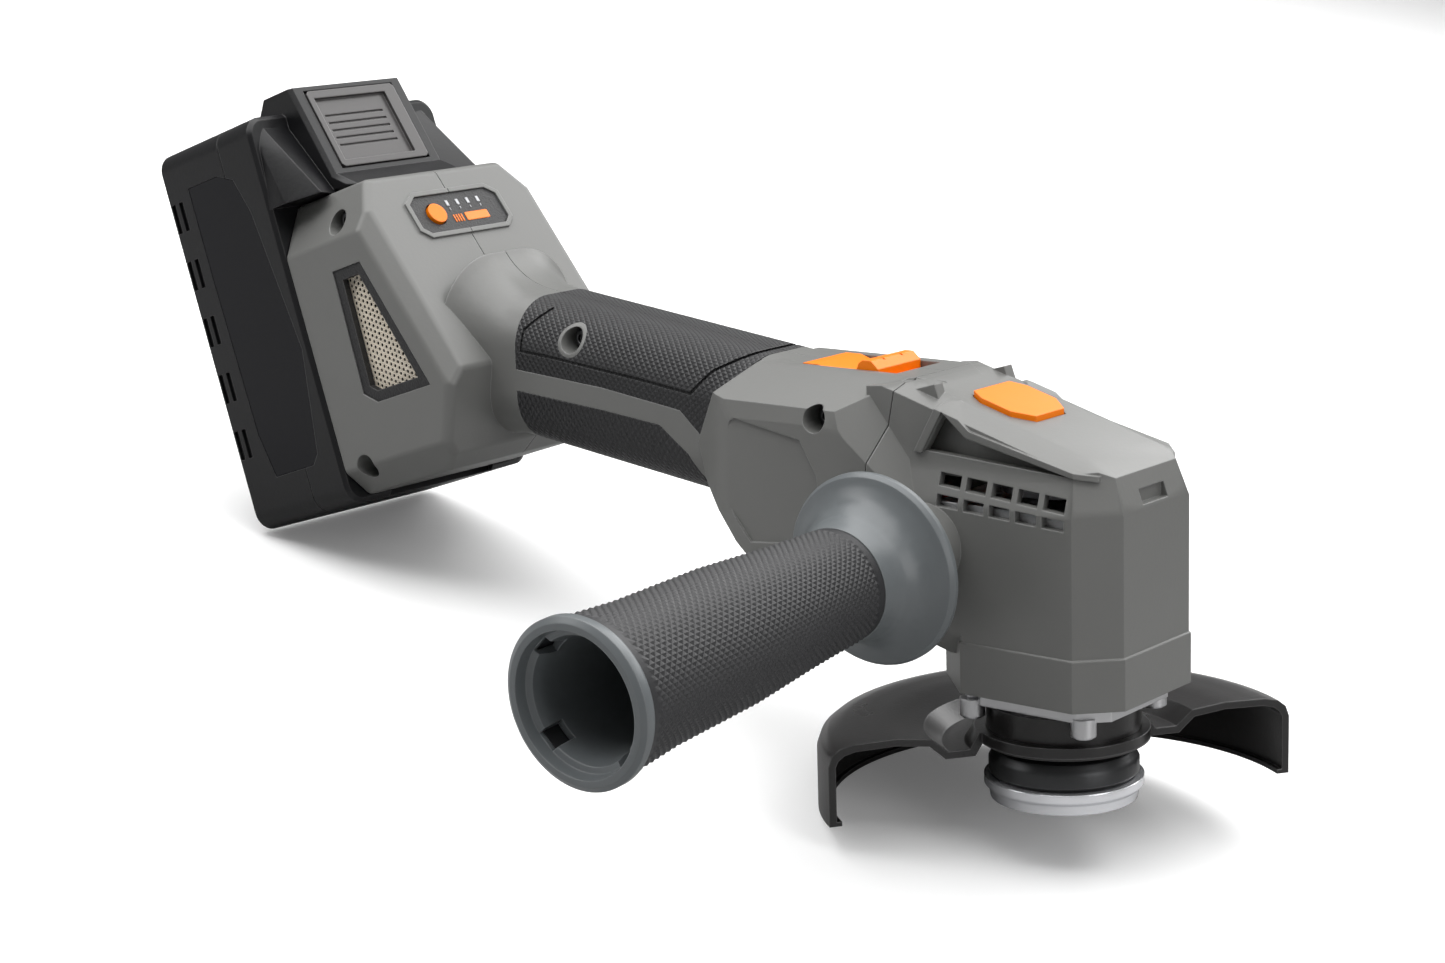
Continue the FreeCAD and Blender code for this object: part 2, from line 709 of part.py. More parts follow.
# housing screws, and the inserts that the side handle screws into
keep("housing_screws", group([side_screw(x, z, -y - 0.1) for x, z, y in screw_places]))
insert = on_side_axis(ring(insert_radius, stud_radius + fit, 34.0 - insert_length, 34.0))
keep("handle_insert_right", insert)
keep("handle_insert_left", mirrored(insert))

# ------------------------------------------------------------------ rear vents and control panel
frame_face = bell_half_width - 0.4
vent_frame = vent_slab(touch, frame_face - 2.2, frame_face).cut(vent_slab(3.2, frame_face - 9, frame_face + 9))
vent_mesh = vent_slab(1.0, frame_face - 3.2, frame_face - 2.2 - touch)
for name, frame_piece, mesh_piece in zip(("right", "left"), both_sides(vent_frame), both_sides(vent_mesh)):
    keep(f"vent_frame_{name}", frame_piece)
    keep(f"vent_mesh_{name}", mesh_piece)
panel = prism_xy(panel_outline(), -1.2 + touch, 0.2)
keep("control_panel", on_panel(panel.cut(disc(mode_radius + gap, -9, 9, mode_offset))))
mode = disc(mode_radius, -2.2, 1.1, mode_offset).fuse(disc(mode_radius + 1.0, -3.6, -2.8, mode_offset))
mode = mode.fuse(disc(mode_radius, -2.9, -2.1, mode_offset))
keep("mode_button", on_panel(mode))
board_depth = -2.8 - 0.8 - mode_travel - 0.3
control_board = box(-16, 16, -6, 6, board_depth - 1.6, board_depth)
keep("control_board", on_panel(control_board))

# ------------------------------------------------------------------ battery dock, controller, leads, switch
dock_section = [(y, z) for y, z in inset(bell_section(), wall + touch)]
dock_plate = prism_yz(dock_section, 0.4, 2.9)
flange = box(-4.8, -2.9, -channel_half + gap, channel_half - gap, -50, 10)
neck = box(-3.0, 0.5, -channel_half + channel_lip + 0.3, channel_half - channel_lip - 0.3, -50, 10)
dock = dock_plate.fuse(neck).fuse(flange).cut(box(-2.6, 5, -18, 18, -46, 6))
dock = dock.cut(box(-9, 5, -20 - touch, 20 + touch, 10.0, 21.5))
keep("battery_dock", leaning(dock.common(box(-9, 5, -60, 60, -56, 29))))
terminal = box(-4.8, 2.9, -20, 20, 10.6, 21.0).fuse(box(2.9, 6.0, -14, 14, 12.0, 20.0))
blade_at = (-12.0, 0.0, 12.0)
blades = [box(-4.3, -1.3, y - 0.4, y + 0.4, 15.0, 30.0) for y in blade_at]
for blade in blades:
    terminal = terminal.cut(blade)
keep("terminal_block", leaning(terminal))
keep("terminal_blades", leaning(group(blades)))

controller_middle = -134.0
pitch = math.degrees(math.atan(handle_slope))


def in_handle(shape):
    """Takes a shape drawn around the origin to the handle's middle line at the controller."""
    placed = shape.copy()
    placed.rotate(V(0, 0, 0), V(0, 1, 0), pitch)
    placed.translate(V(controller_middle, 0, handle_middle(controller_middle)))
    return placed


controller = box(-27, 27, -12, 12, -9, 4).fuse(box(-24, -8, -9, 9, 4, 6.5)).fuse(box(2, 22, -9, 9, 4, 7))
keep("controller", in_handle(controller))
lead_radius = 1.3


def tube_through(points, radius):
    """A round rod through a few points, with rounded bends."""
    rod = None
    for start, end in zip(points, points[1:]):
        run = Part.makeCylinder(radius, (end - start).Length, start, end - start)
        rod = run if rod is None else rod.fuse(Part.makeSphere(radius, start)).fuse(run)
    return rod


leads = []
for y in (-7.0, 0.0, 7.0):
    start = V(controller_middle + 27.5, y, handle_middle(controller_middle + 27.5) - 3.0)
    leads.append(tube_through([start, start + V(20, 0, -4), V(-45, y, 68.5), V(-19, y, 62.4)], lead_radius))
keep("motor_leads", group(leads))

plate_top = body_top - wall - gap
base_low = plate_top - 1.8
switch_profile = [
    (switch_rear, body_top + 0.2), (switch_rear + 5.0, body_top + 0.2), (switch_rear + 16.5, body_top - 3.4),
    (switch_rear + 18.6, body_top + 1.6), (switch_rear + 20.0, body_top + 2.5), (switch_rear + 22.6, body_top + 2.5),
    (switch_rear + switch_length, body_top + 0.4), (switch_rear + switch_length, plate_top - 0.5), (switch_rear, plate_top - 0.5),
]
thumb = prism_xz(switch_profile, switch_half_width)
for x in (switch_rear + 19.2, switch_rear + 21.8):
    for y in (-4.4, 3.6):
        thumb = thumb.cut(box(x, x + 1.2, y, y + 0.8, body_top + 0.8, body_top + 9))
base = box(switch_rear - 6.5, switch_rear + switch_length + 3.0, -12.3, 12.3, base_low, plate_top)
keep("slide_switch", thumb.fuse(base))
slider_top = base_low - touch
slider_leg = switch_box_rear - switch_travel - gap       # front face of the leg that works the microswitch
slider = box(slider_leg - 3.6, -68, -4, 4, slider_top - 1.6, slider_top)
slider = slider.fuse(box(slider_leg - 3.6, slider_leg, -4, 4, slider_top - 9.0, slider_top - 1.5))
keep("switch_slider", slider)
switch_box = box(switch_box_rear, -64.5, -7, 7, slider_top - 14.5, slider_top - 3.4)
plunger = box(switch_box_rear - 0.2, switch_box_rear + 0.1, -1.5, 1.5, slider_top - 8.0, slider_top - 5.5)
keep("microswitch", switch_box.fuse(plunger))

# ------------------------------------------------------------------ spindle lock
pin_rest = lock_ring[1] + lock_ring[2] + gap
button_top = plateau_z(lock_at) + 1.35
button = prism_xy(lock_outline, plateau_z(lock_at) - 6.5, 130)
slope_n = (math.sin(math.radians(plateau_pitch)), 0, math.cos(math.radians(plateau_pitch)))
button = trimmed(button, (lock_at, 0, button_top), slope_n)
button = button.cut(disc(lock_pin_radius + touch, 60, plateau_z(lock_at) - 2.5, lock_at))
keep("spindle_lock_button", button)
keep("lock_pin", disc(lock_pin_radius, pin_rest, plateau_z(lock_at) - 2.5 - touch, lock_at))


def coil(radius, wire, turns, x, z0, z1):
    """A compression spring about a vertical axis."""
    pitch_of = (z1 - z0 - 2 * wire) / turns
    helix = Part.makeHelix(pitch_of, pitch_of * turns, radius)
    circle = Part.Wire([Part.Circle(V(radius, 0, 0), V(0, 1, 0), wire).toShape()])
    spring = Part.Wire(helix.Edges).makePipeShell([circle], True, True)
    spring.translate(V(x, 0, z0 + wire))
    return spring


spring_low = shelf[1] + lock_travel + 0.2
keep("lock_spring", coil(lock_pin_radius + 1.2, 0.45, 3, lock_at, spring_low, plateau_z(lock_at) - 6.5 - touch))

# ------------------------------------------------------------------ motor, spindle, fan and bearings
bearing_low = neck_low + 1.2
bearing_top = bearing_low + lower_bearing[1]


def bearing(outer, inner, width, low):
    """A sealed ball bearing drawn as one piece, with its seals set back."""
    race = 0.17 * (outer - inner)
    body = ring(outer, inner, low, low + width)
    for z0, z1 in ((low - 1, low + 0.4), (low + width - 0.4, low + width + 1)):
        body = body.cut(ring(outer - race, inner + race, z0, z1))
    return body


keep("lower_bearing", bearing(lower_bearing[0], journal_radius + fit / 2, lower_bearing[1], bearing_low))
keep("upper_bearing", bearing(upper_bearing[0], upper_journal + fit / 2, upper_bearing[1], upper_bearing_low))
keep("bearing_retainer", ring(lower_bearing[0], lower_bearing[0] - 2.6, neck_low + 0.1, bearing_low - touch))
spindle = turned([
    (0, thread_end), (thread_radius - 1.0, thread_end), (thread_radius, thread_end + 1.0), (thread_radius, flange_height + touch),
    (shoulder_radius, flange_height + touch), (shoulder_radius, bearing_low - touch), (journal_radius, bearing_low - touch),
    (journal_radius, fan_low - 3.0), (shaft_radius, fan_low - 3.0), (shaft_radius, upper_bearing_low - touch),
    (upper_journal, upper_bearing_low - touch), (upper_journal, spindle_top), (0, spindle_top),
])
hex_socket = Part.Face(Part.makePolygon([
    V(3.0 * math.cos(math.radians(60 * i)), 3.0 * math.sin(math.radians(60 * i)), thread_end - 1) for i in range(7)]))
keep("spindle", spindle.cut(hex_socket.extrude(V(0, 0, 5.0))))
lock_disc = ring(lock_ring[0], upper_journal + touch, lock_ring[1], lock_ring[1] + lock_ring[2])
for i in range(lock_hole_count):
    angle = math.radians(180 + 360 / lock_hole_count * i)
    lock_disc = lock_disc.cut(disc(lock_pin_radius + 0.3, 60, 90, -lock_at * math.cos(angle), -lock_at * math.sin(angle)))
keep("lock_ring", lock_disc)

fan = ring(10.0, shaft_radius + touch, fan_low, fan_low + fan_height).fuse(ring(fan_radius, shaft_radius + touch, fan_low, fan_low + 1.0))
for i in range(fan_blades):
    blade = box(9.0, fan_radius, -0.6, 0.6, fan_low + 0.5, fan_low + fan_height)
    blade.rotate(V(9.0, 0, 0), V(0, 0, 1), 24)
    blade.rotate(V(0, 0, 0), V(0, 0, 1), 360.0 / fan_blades * i)
    fan = fan.fuse(blade.common(disc(fan_radius, 0, 90)))
keep("fan", fan)

stator_top = stator_low + stator_height
stator_bore = rotor_radius + air_gap
yoke = ring(stator_radius, stator_radius - 3.0, stator_low, stator_top)
coils = []
for i in range(tooth_count):
    angle = 360.0 / tooth_count * i
    tooth = box(stator_bore + 1.0, stator_radius - 2.0, -1.6, 1.6, stator_low, stator_top)
    shoe = ring(stator_bore + 1.6, stator_bore, stator_low, stator_top)
    wedge = prism_xy([(0, 0), (30, -7.6), (30, 7.6)], stator_low - 1, stator_top + 1)
    winding = box(stator_bore + 1.9, stator_radius - 3.3, -2.7, 2.7, stator_low - 1.6, stator_top + 1.6)
    winding = winding.cut(box(0, 40, -1.75, 1.75, stator_low - touch * 5, stator_top + touch * 5))
    winding = winding.common(prism_xy([(0, 0), (30, -9.6), (30, 9.6)], 0, 90))
    for shape in (tooth, shoe, winding):
        shape.rotate(V(0, 0, 0), V(0, 0, 1), angle)
    wedge.rotate(V(0, 0, 0), V(0, 0, 1), angle)
    yoke = yoke.fuse(tooth).fuse(shoe.common(wedge))
    coils.append(winding)
keep("stator_core", yoke)
keep("windings", group(coils))
keep("sensor_board", ring(stator_radius, 9.0, stator_top + 1.6 + touch, stator_top + 3.0))
magnet = 2.2
rotor_top = stator_top + 0.5
keep("rotor_core", ring(rotor_radius - magnet, shaft_radius + touch, stator_low - 0.5, rotor_top))
keep("rotor_magnets", ring(rotor_radius, rotor_radius - magnet + touch, stator_low - 0.5, rotor_top))

bracket_plan = [(min(x, 99) if x > 0 else max(x, -24.0), y) for x, y in inset(head_upper_plan(), wall + touch)]
bracket_low = upper_bearing_low - 0.5
bracket_top = upper_bearing_low + upper_bearing[1] + 1.0
bracket = prism_xy(bracket_plan, 70.9 + touch, bracket_top).fuse(disc(upper_bearing[0] + 2.6, bracket_low, bracket_top))
bracket = bracket.cut(disc(upper_bearing[0] + touch, bracket_low - 1, upper_bearing_low + upper_bearing[1] + touch))
bracket = bracket.cut(disc(upper_bearing[0] - 2.5, 60, 90))
for side_shape in both_sides(on_side_axis(disc(boss_side_radius + 0.3, 15, 40))):
    bracket = bracket.cut(side_shape)
for i in range(6):
    angle = math.radians(30 + 60 * i)
    bracket = bracket.cut(disc(2.4, 60, 90, 17.5 * math.cos(angle), 17.5 * math.sin(angle)))
keep("bearing_bracket", bracket)

plate_low = head_bottom - housing_plate
base_plate = prism_xy(inset(head_plan(), plate_inset), plate_low, head_bottom - touch)
spigot = prism_xy(inset(head_plan(), wall + touch), head_bottom - 0.5, post_height[0] - 0.1)
spigot = spigot.cut(disc(fan_radius + 0.6, head_bottom, 90))
spindle_housing = base_plate.fuse(spigot).fuse(disc(neck_radius, neck_low, plate_low + 1))
for sx in (-1, 1):
    for sy in (-1, 1):
        spindle_housing = spindle_housing.fuse(disc(boss_radius, boss_low, plate_low + 1, sx * boss_at, sy * boss_at))
spindle_housing = spindle_housing.cut(disc(lower_bearing[0] + touch, 0, bearing_top + touch))
spindle_housing = spindle_housing.cut(disc(lower_bearing[0] - 2.4, 0, 90))
screws = []
for sx in (-1, 1):
    for sy in (-1, 1):
        x, y = sx * boss_at, sy * boss_at
        spindle_housing = spindle_housing.cut(disc(1.7, 0, 60, x, y)).cut(disc(2.7, 0, boss_low + 1.6, x, y))
        cap = disc(2.6, boss_low - 0.5, boss_low + 1.6 - touch, x, y).fuse(disc(1.6, boss_low + 1.5, 31.0, x, y))
        cap = cap.cut(disc(1.3, boss_low - 1, boss_low + 0.8, x, y))
        screws.append(cap)
keep("spindle_housing", spindle_housing)
keep("spindle_housing_screws", group(screws))

# ------------------------------------------------------------------ guard, flange and nut
collar_top = plate_low - 0.8
collar_low = guard_plateau - guard_sheet
collar_radius = 20.2
guard_upper = [
    (collar_radius + touch, guard_plateau), (guard_plateau_radius, guard_plateau), (guard_plateau_radius + 2.6, guard_groove),
    (guard_groove_radius + 1.4, guard_groove), (guard_groove_radius + 6.0, guard_dome - 0.5), (46.0, guard_dome + 0.6),
    (guard_radius - 7.0, guard_dome + 0.3), (guard_radius - 3.2, guard_dome - 0.6), (guard_radius - 1.0, guard_dome - 2.4),
    (guard_radius, guard_dome - 5.2), (guard_radius, guard_rim_low), (guard_radius - 3.4, guard_rim_low),
]
guard_lower = [
    (guard_radius - 3.4, guard_rim_low + guard_sheet * 0.6), (guard_radius - guard_sheet, guard_rim_low + guard_sheet * 0.6),
    (guard_radius - guard_sheet, guard_dome - 5.4), (guard_radius - 0.7 - guard_sheet, guard_dome - 3.8),
    (guard_radius - 4.4, guard_dome - 2.5), (guard_radius - 7.4, guard_dome + 0.3 - guard_sheet), (46.0, guard_dome + 0.6 - guard_sheet),
    (guard_groove_radius + 6.6, guard_dome - 0.5 - guard_sheet), (guard_groove_radius + 2.2, guard_groove - guard_sheet),
    (guard_plateau_radius + 1.2, guard_groove - guard_sheet), (guard_plateau_radius - 1.4, guard_plateau - guard_sheet),
    (collar_radius + touch, guard_plateau - guard_sheet),
]
guard = turned([*guard_upper, *guard_lower])
keep_half = box(-90, 0, -90, 90, -30, 30)
keep_half.rotate(V(0, 0, 0), V(0, 0, 1), -guard_turn)
guard = guard.common(keep_half.fuse(disc(guard_front_radius, -30, 30)))
keep("guard", guard)
collar = ring(collar_radius, neck_radius + fit, collar_low - 1.6, collar_top)
collar = collar.fuse(ring(collar_radius + 1.4, neck_radius + fit, collar_low - 1.6, collar_low - touch))
clamp_ear = box(-30, -collar_radius + 0.5, -5, 5, guard_plateau + touch, boss_low - 0.9)
clamp_ear = clamp_ear.cut(box(-33, -20, -0.8, 0.8, 0, 40)).cut(disc(neck_radius + 1.0, 0, 40))
clamp_ear.rotate(V(0, 0, 0), V(0, 0, 1), -guard_turn)
keep("guard_collar", collar.fuse(clamp_ear))

flange_body = turned([
    (thread_radius + touch, 0), (pilot_radius, 0), (flange_radius - 1.0, 0), (flange_radius, 1.0), (flange_radius, 4.2),
    (flange_radius - 1.6, flange_height - 1.2), (12.0, flange_height), (thread_radius + touch, flange_height),
])
flange_body = flange_body.cut(ring(flange_radius - 4.6, pilot_radius, -1, 0.6))
keep("inner_flange", flange_body)
nut = turned([
    (thread_radius + fit, -seam), (nut_radius, -seam), (nut_radius, -2.6), (nut_radius - 1.2, -3.6),
    (nut_radius - 1.6, -nut_height), (thread_radius + fit, -nut_height),
])
for i in range(4):
    angle = math.radians(45 + 90 * i)
    nut = nut.cut(disc(2.2, -20, -nut_height + 3.2, 15.2 * math.cos(angle), 15.2 * math.sin(angle)))
keep("lock_nut", nut)

# ------------------------------------------------------------------ side handle, drawn about Z with the tool at z = 0
grip_start = 64.0
sleeve_outer = [(14.5, 64.0), (15.5, 85.0), (17.2, 110.0), (17.8, 140.0), (19.0, 157.0), (19.0, 159.4)]
sleeve_wall = 2.6
hollow_start = 96.0
handle_neck = 9.0
core = turned([
    (0, 34.4), (handle_neck, 34.4), (handle_neck, 44.0), (19.0, 45.2), (23.6, 46.4), (side_flange_radius, 47.8), (side_flange_radius, 49.0),
    (24.2, 50.2), (21.6, 51.2), (18.6, 53.2), (16.4, 56.6), (15.2, 60.4), (14.7, grip_start - touch), (12.0, grip_start - touch),
    *[(r - sleeve_wall, z) for r, z in sleeve_outer], (side_end_radius - 0.6, 159.4), (side_end_radius, 160.4), (side_end_radius, 162.6),
    (side_end_radius - 1.4, side_end), (side_end_radius - 3.0, side_end), (side_end_radius - 3.6, side_end - 3.0),
    (15.3, side_end - 3.6), (14.5, 157.0), (13.6, 140.0), (12.6, 112.0), (10.6, hollow_start), (0, hollow_start),
])
for i in range(4):
    notch = box(12.0, 16.6, -2.6, 2.6, side_end - 9.0, side_end + 1)
    notch.rotate(V(0, 0, 0), V(0, 0, 1), 45 + 90 * i)
    core = core.cut(notch)
stud_end = 80.0
core = core.cut(disc(stud_radius + touch, 0, stud_end + touch))
keep("side_handle_core", on_side_axis(core))
inner_line = [(r - sleeve_wall + touch, z) for r, z in reversed(sleeve_outer)]
inner_line[0] = (inner_line[0][0], 159.4 - touch)
outer_line = [*sleeve_outer[:-1], (19.0, 159.4 - touch)]
keep("side_handle_grip", on_side_axis(turned([*outer_line, *inner_line])))
stud_start = 34.0 - stud_reach
keep("side_handle_stud", on_side_axis(disc(stud_radius, stud_start + 0.4, stud_end)))

# ------------------------------------------------------------------ battery, in its leaning frame with X = w, Y = y and Z = -s
half_length, half_case = battery_length / 2, battery_width / 2
case = box(-battery_depth, -gap, -half_case, half_case, -half_length, half_length)
case = rounded(case, battery_round, lambda e: along(e, V(1, 0, 0)))
case = case.makeChamfer(3.2, [e for e in case.Edges if e.BoundBox.XMax < -battery_depth + 0.01])
case = case.makeChamfer(1.2, [e for e in case.Edges if e.BoundBox.XMin > -gap - 0.01])
case = case.cut(box(-battery_depth - 1, -battery_depth + 1.1, -30, 30, -33, 36))
for z in (44.0, 26.0, 8.0, -10.0, -28.0):
    for y0 in (-half_case - 1, half_case - 1.4):
        for step in (0.0, 3.6):
            case = case.cut(box(-battery_depth + 3.6 + step, -battery_depth + 5.6 + step, y0, y0 + 2.4, z - 9.0, z))
nose_outline = [
    (-14.0, half_length - 1), (-8.0, -nose_top), (4.5, -nose_top), (13.2, 37.0), (nose_foot, 31.4), (-gap, 31.4), (-14.0, 31.4),
]
nose_half = 23.0
nose = prism_xz(nose_outline, nose_half)
nose = nose.makeChamfer(1.2, [e for e in nose.Edges if abs(abs(e.CenterOfMass.y) - nose_half) < 0.01 and e.CenterOfMass.x > 4.0])
for sign in (-1, 1):
    rear = [(38.4, -gap - 1), (38.2, 6.0), (33.5, 17.4), (nose_half - 1, 11.5), (nose_half - 1, -gap - 1)]
    front = [(36.0, -3.0), (35.8, -2.6), (33.0, -0.9), (nose_half - 1, -1.4), (nose_half - 1, -3.0)]
    wires = []
    for z, points in ((31.4, rear), (56.5, front)):
        ring_points = [V(w, sign * y, z) for y, w in points]
        wires.append(Part.makePolygon([*ring_points, ring_points[0]]))
    case = case.fuse(Part.makeLoft(wires, True, True))
case = case.fuse(nose)
cavity = box(-45.0, -7.5, -half_case + battery_wall + 1.0, half_case - battery_wall - 1.0, -half_length + battery_wall, half_length - battery_wall)
case = case.cut(cavity)
case = case.cut(box(-7.6, 0.2, -20.5, 20.5, 33.6, half_length - battery_wall))
channel = box(-gap - channel_depth, -gap - lip_thickness, -channel_half, channel_half, -70, -channel_top)
lips = box(-3.0, 1.0, -channel_half + channel_lip, channel_half - channel_lip, -70, -channel_top)
case = case.cut(channel).cut(lips)
for y in blade_at:
    case = case.cut(box(-5.2, 1.0, y - 1.6, y + 1.6, 21.5, 33.7))
glass_outline = [
    (-34, 47), (-20, 47), (-13, 44), (-9, 33), (-3.2, -11), (-9, -42), (-12, -45), (-30, -45), (-33, -31), (-34, 20),
]
glass_depth = 1.0
for sign in (-1, 1):
    pane = prism_xz(glass_outline, 5)
    pane.translate(V(0, sign * (half_case - glass_depth + 5), 0))
    case = case.cut(pane)
    glass = prism_xz(inset(glass_outline, touch), glass_depth / 2 - 0.1)
    glass.translate(V(0, sign * (half_case - glass_depth / 2 - 0.1 + touch), 0))
    keep("battery_side_panel_right" if sign < 0 else "battery_side_panel_left", leaning(glass))

# the latch plate slides in and out square to the nose's slope
slope_angle = math.degrees(math.atan2(13.2 - 4.5, -nose_top - 37.0))
slope_middle = V((13.2 + 4.5) / 2, 0, (-nose_top + 37.0) / 2)


def on_nose(shape):
    """Takes a shape drawn on XY, with X to the right, Y down the slope and Z outwards, to the nose's slope."""
    placed = shape.copy()
    place = FreeCAD.Matrix(0, math.sin(math.radians(slope_angle)), math.cos(math.radians(slope_angle)), 0,
                           -1, 0, 0, 0,
                           0, -math.cos(math.radians(slope_angle)), math.sin(math.radians(slope_angle)), 0,
                           0, 0, 0, 1)
    place.move(slope_middle)
    placed.Placement = FreeCAD.Placement(place).multiply(placed.Placement)
    return placed


latch_half, latch_long, latch_thick = latch_size[0] / 2, latch_size[1] / 2, latch_size[2]
leaf_rise = 1.1
latch_well = latch_thick + leaf_rise + latch_travel + 0.1
case = case.cut(on_nose(box(-latch_half - gap, latch_half + gap, -latch_long - gap, latch_long + gap, -latch_well, 20)))
latch = box(-latch_half, latch_half, -latch_long, latch_long, -latch_thick, 0.4)
latch = latch.makeChamfer(1.0, [e for e in latch.Edges if along(e, V(0, 0, 1))])
dish = box(-latch_half + 4.6, latch_half - 2.0, -latch_long + 2.6, latch_long - 2.2, -0.8, 5)
latch = latch.cut(dish)
for i in range(5):
    y = -5.2 + 2.6 * i
    latch = latch.cut(box(-latch_half + 8.0, latch_half - 4.0, y, y + 0.7, -1.3, 5))
keep("latch_button", leaning(on_nose(latch)))
# an arched leaf spring presses the latch plate outwards
leaf_half, leaf_width, leaf_thick, leaf_foot, leaf_crown = 5.0, 6.0, 0.3, 1.4, 1.2
leaf_low, leaf_high = -latch_thick - leaf_rise, -latch_thick - touch
leaf_outline = [
    (-leaf_half, leaf_low), (-leaf_half + leaf_foot, leaf_low), (-leaf_crown, leaf_high - leaf_thick),
    (leaf_crown, leaf_high - leaf_thick), (leaf_half - leaf_foot, leaf_low), (leaf_half, leaf_low),
    (leaf_half, leaf_low + leaf_thick), (leaf_half - leaf_foot, leaf_low + leaf_thick), (leaf_crown, leaf_high),
    (-leaf_crown, leaf_high), (-leaf_half + leaf_foot, leaf_low + leaf_thick), (-leaf_half, leaf_low + leaf_thick),
]
leaf = prism_xz(leaf_outline, leaf_width / 2)
keep("latch_spring", leaning(on_nose(leaf)))

rear_case = case.common(box(-80, parting - seam / 2, -80, 80, -90, 90))
front_case = case.common(box(parting + seam / 2, 60, -80, 80, -90, 90))
keep("battery_case_rear", leaning(rear_case))
keep("battery_case_front", leaning(front_case))
cells = []
holder = []
for w in (-17.3, -17.3 - 2 * cell_radius - 0.1):
    for i in range(cell_rows):
        z = (i - (cell_rows - 1) / 2) * cell_pitch
        cells.append(Part.makeCylinder(cell_radius, cell_length, V(w, -cell_length / 2, z), V(0, 1, 0)))
for y in (-26.0, 22.0):
    rack = box(-44.8, -7.9, y, y + 4.0, -half_length + 3.2, half_length - 3.2)
    for cell in cells:
        rack = rack.cut(Part.makeCylinder(cell_radius + touch, 90, V(cell.CenterOfMass.x, -45, cell.CenterOfMass.z), V(0, 1, 0)))
    holder.append(rack)
keep("battery_cells", leaning(group(cells)))
keep("cell_holder", leaning(group([s for rack in holder for s in rack.Solids])))
keep("battery_board", leaning(box(-6.6, -5.4, -19.5, 19.5, 34.2, 56.0)))
contacts = []
for y in blade_at:
    for side in (-1, 1):
        leaf = box(-5.0, -1.2, y + side * 1.15 - 0.3, y + side * 1.15 + 0.3, 22.2, 34.0)
        contacts.append(leaf)
keep("battery_contacts", leaning(group(contacts)))

# ------------------------------------------------------------------ turned to the way the part lies, and written out
rear_foot = leaning_point(half_length, -battery_depth)
rim_rear = -guard_radius
rest_pitch = math.degrees(math.atan2(rear_foot[1] - guard_rim_low, rim_rear - rear_foot[0]))
os.makedirs("parts", exist_ok=True)
for name, shape in nodes.items():
    turned_shape = shape.copy()
    turned_shape.rotate(V(0, 0, 0), V(0, 1, 0), -rest_pitch)
    turned_shape.exportStep(f"parts/{name}.step")
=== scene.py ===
import json
import math

import bmesh
import bpy
from mathutils import Matrix, Vector


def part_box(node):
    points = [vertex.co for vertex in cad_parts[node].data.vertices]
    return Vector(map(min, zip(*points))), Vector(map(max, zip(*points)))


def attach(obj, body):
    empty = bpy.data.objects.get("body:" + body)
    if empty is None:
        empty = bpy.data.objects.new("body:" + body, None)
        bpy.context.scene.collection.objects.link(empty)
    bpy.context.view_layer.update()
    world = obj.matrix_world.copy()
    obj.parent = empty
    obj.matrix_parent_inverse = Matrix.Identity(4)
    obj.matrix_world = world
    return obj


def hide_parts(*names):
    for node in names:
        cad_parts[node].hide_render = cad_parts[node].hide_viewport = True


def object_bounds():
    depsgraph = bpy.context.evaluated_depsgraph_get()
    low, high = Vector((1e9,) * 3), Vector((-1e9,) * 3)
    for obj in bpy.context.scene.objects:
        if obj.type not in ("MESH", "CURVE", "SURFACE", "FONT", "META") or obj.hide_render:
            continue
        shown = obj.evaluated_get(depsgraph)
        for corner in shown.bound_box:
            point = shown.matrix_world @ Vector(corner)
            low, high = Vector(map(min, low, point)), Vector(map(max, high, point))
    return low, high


bl_info = {
    "name": "Cordless angle grinder",
    "version": (1, 0, 0),
    "blender": (4, 5, 0),
    "location": "3D View > Sidebar > Angle grinder",
    "description": "Finishes and fine detail for the parts of a cordless angle grinder",
    "category": "Add Mesh",
}

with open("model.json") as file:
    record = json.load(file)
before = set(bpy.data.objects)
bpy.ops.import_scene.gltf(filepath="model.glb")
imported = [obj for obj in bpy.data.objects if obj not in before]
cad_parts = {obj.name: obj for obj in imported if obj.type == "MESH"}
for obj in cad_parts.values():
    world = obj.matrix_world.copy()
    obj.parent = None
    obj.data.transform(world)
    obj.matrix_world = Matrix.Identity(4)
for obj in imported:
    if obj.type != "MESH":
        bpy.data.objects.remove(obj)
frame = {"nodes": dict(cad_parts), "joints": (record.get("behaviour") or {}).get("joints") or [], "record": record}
cad_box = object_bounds()

MM = 0.001
Y_AXIS = Vector((0.0, 1.0, 0.0))


# ---------------------------------------------------------------- places read from the frame
def joint(name):
    return next(j for j in frame["joints"] if j["name"] == name)


def joint_axis(name):
    return Vector(joint(name)["axis"]).normalized()


def columns(x, y, z, origin=(0.0, 0.0, 0.0)):
    """The matrix that takes a shape drawn on plain axes to axes x, y and z at an origin."""
    return Matrix.Translation(origin) @ Matrix((x, y, z)).transposed().to_4x4()


def middle(node):
    low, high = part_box(node)
    return (Vector(low) + Vector(high)) / 2


SPINDLE_AXIS = joint_axis("spindle_spin")
TOOL = columns(Y_AXIS.cross(SPINDLE_AXIS), Y_AXIS, SPINDLE_AXIS)
PANEL_NORMAL = -joint_axis("mode_press")
PANEL = columns(Y_AXIS, PANEL_NORMAL.cross(Y_AXIS), PANEL_NORMAL, middle("control_panel"))
SLEEVE_AXIS = joint_axis("side_handle_out")
SLOT_OF = {part["node"]: part["material_slot"] for part in frame["record"]["subparts"]}
HANDLE_SLOPE = math.radians(7.27)       # how far the main handle falls away from the tool's long axis


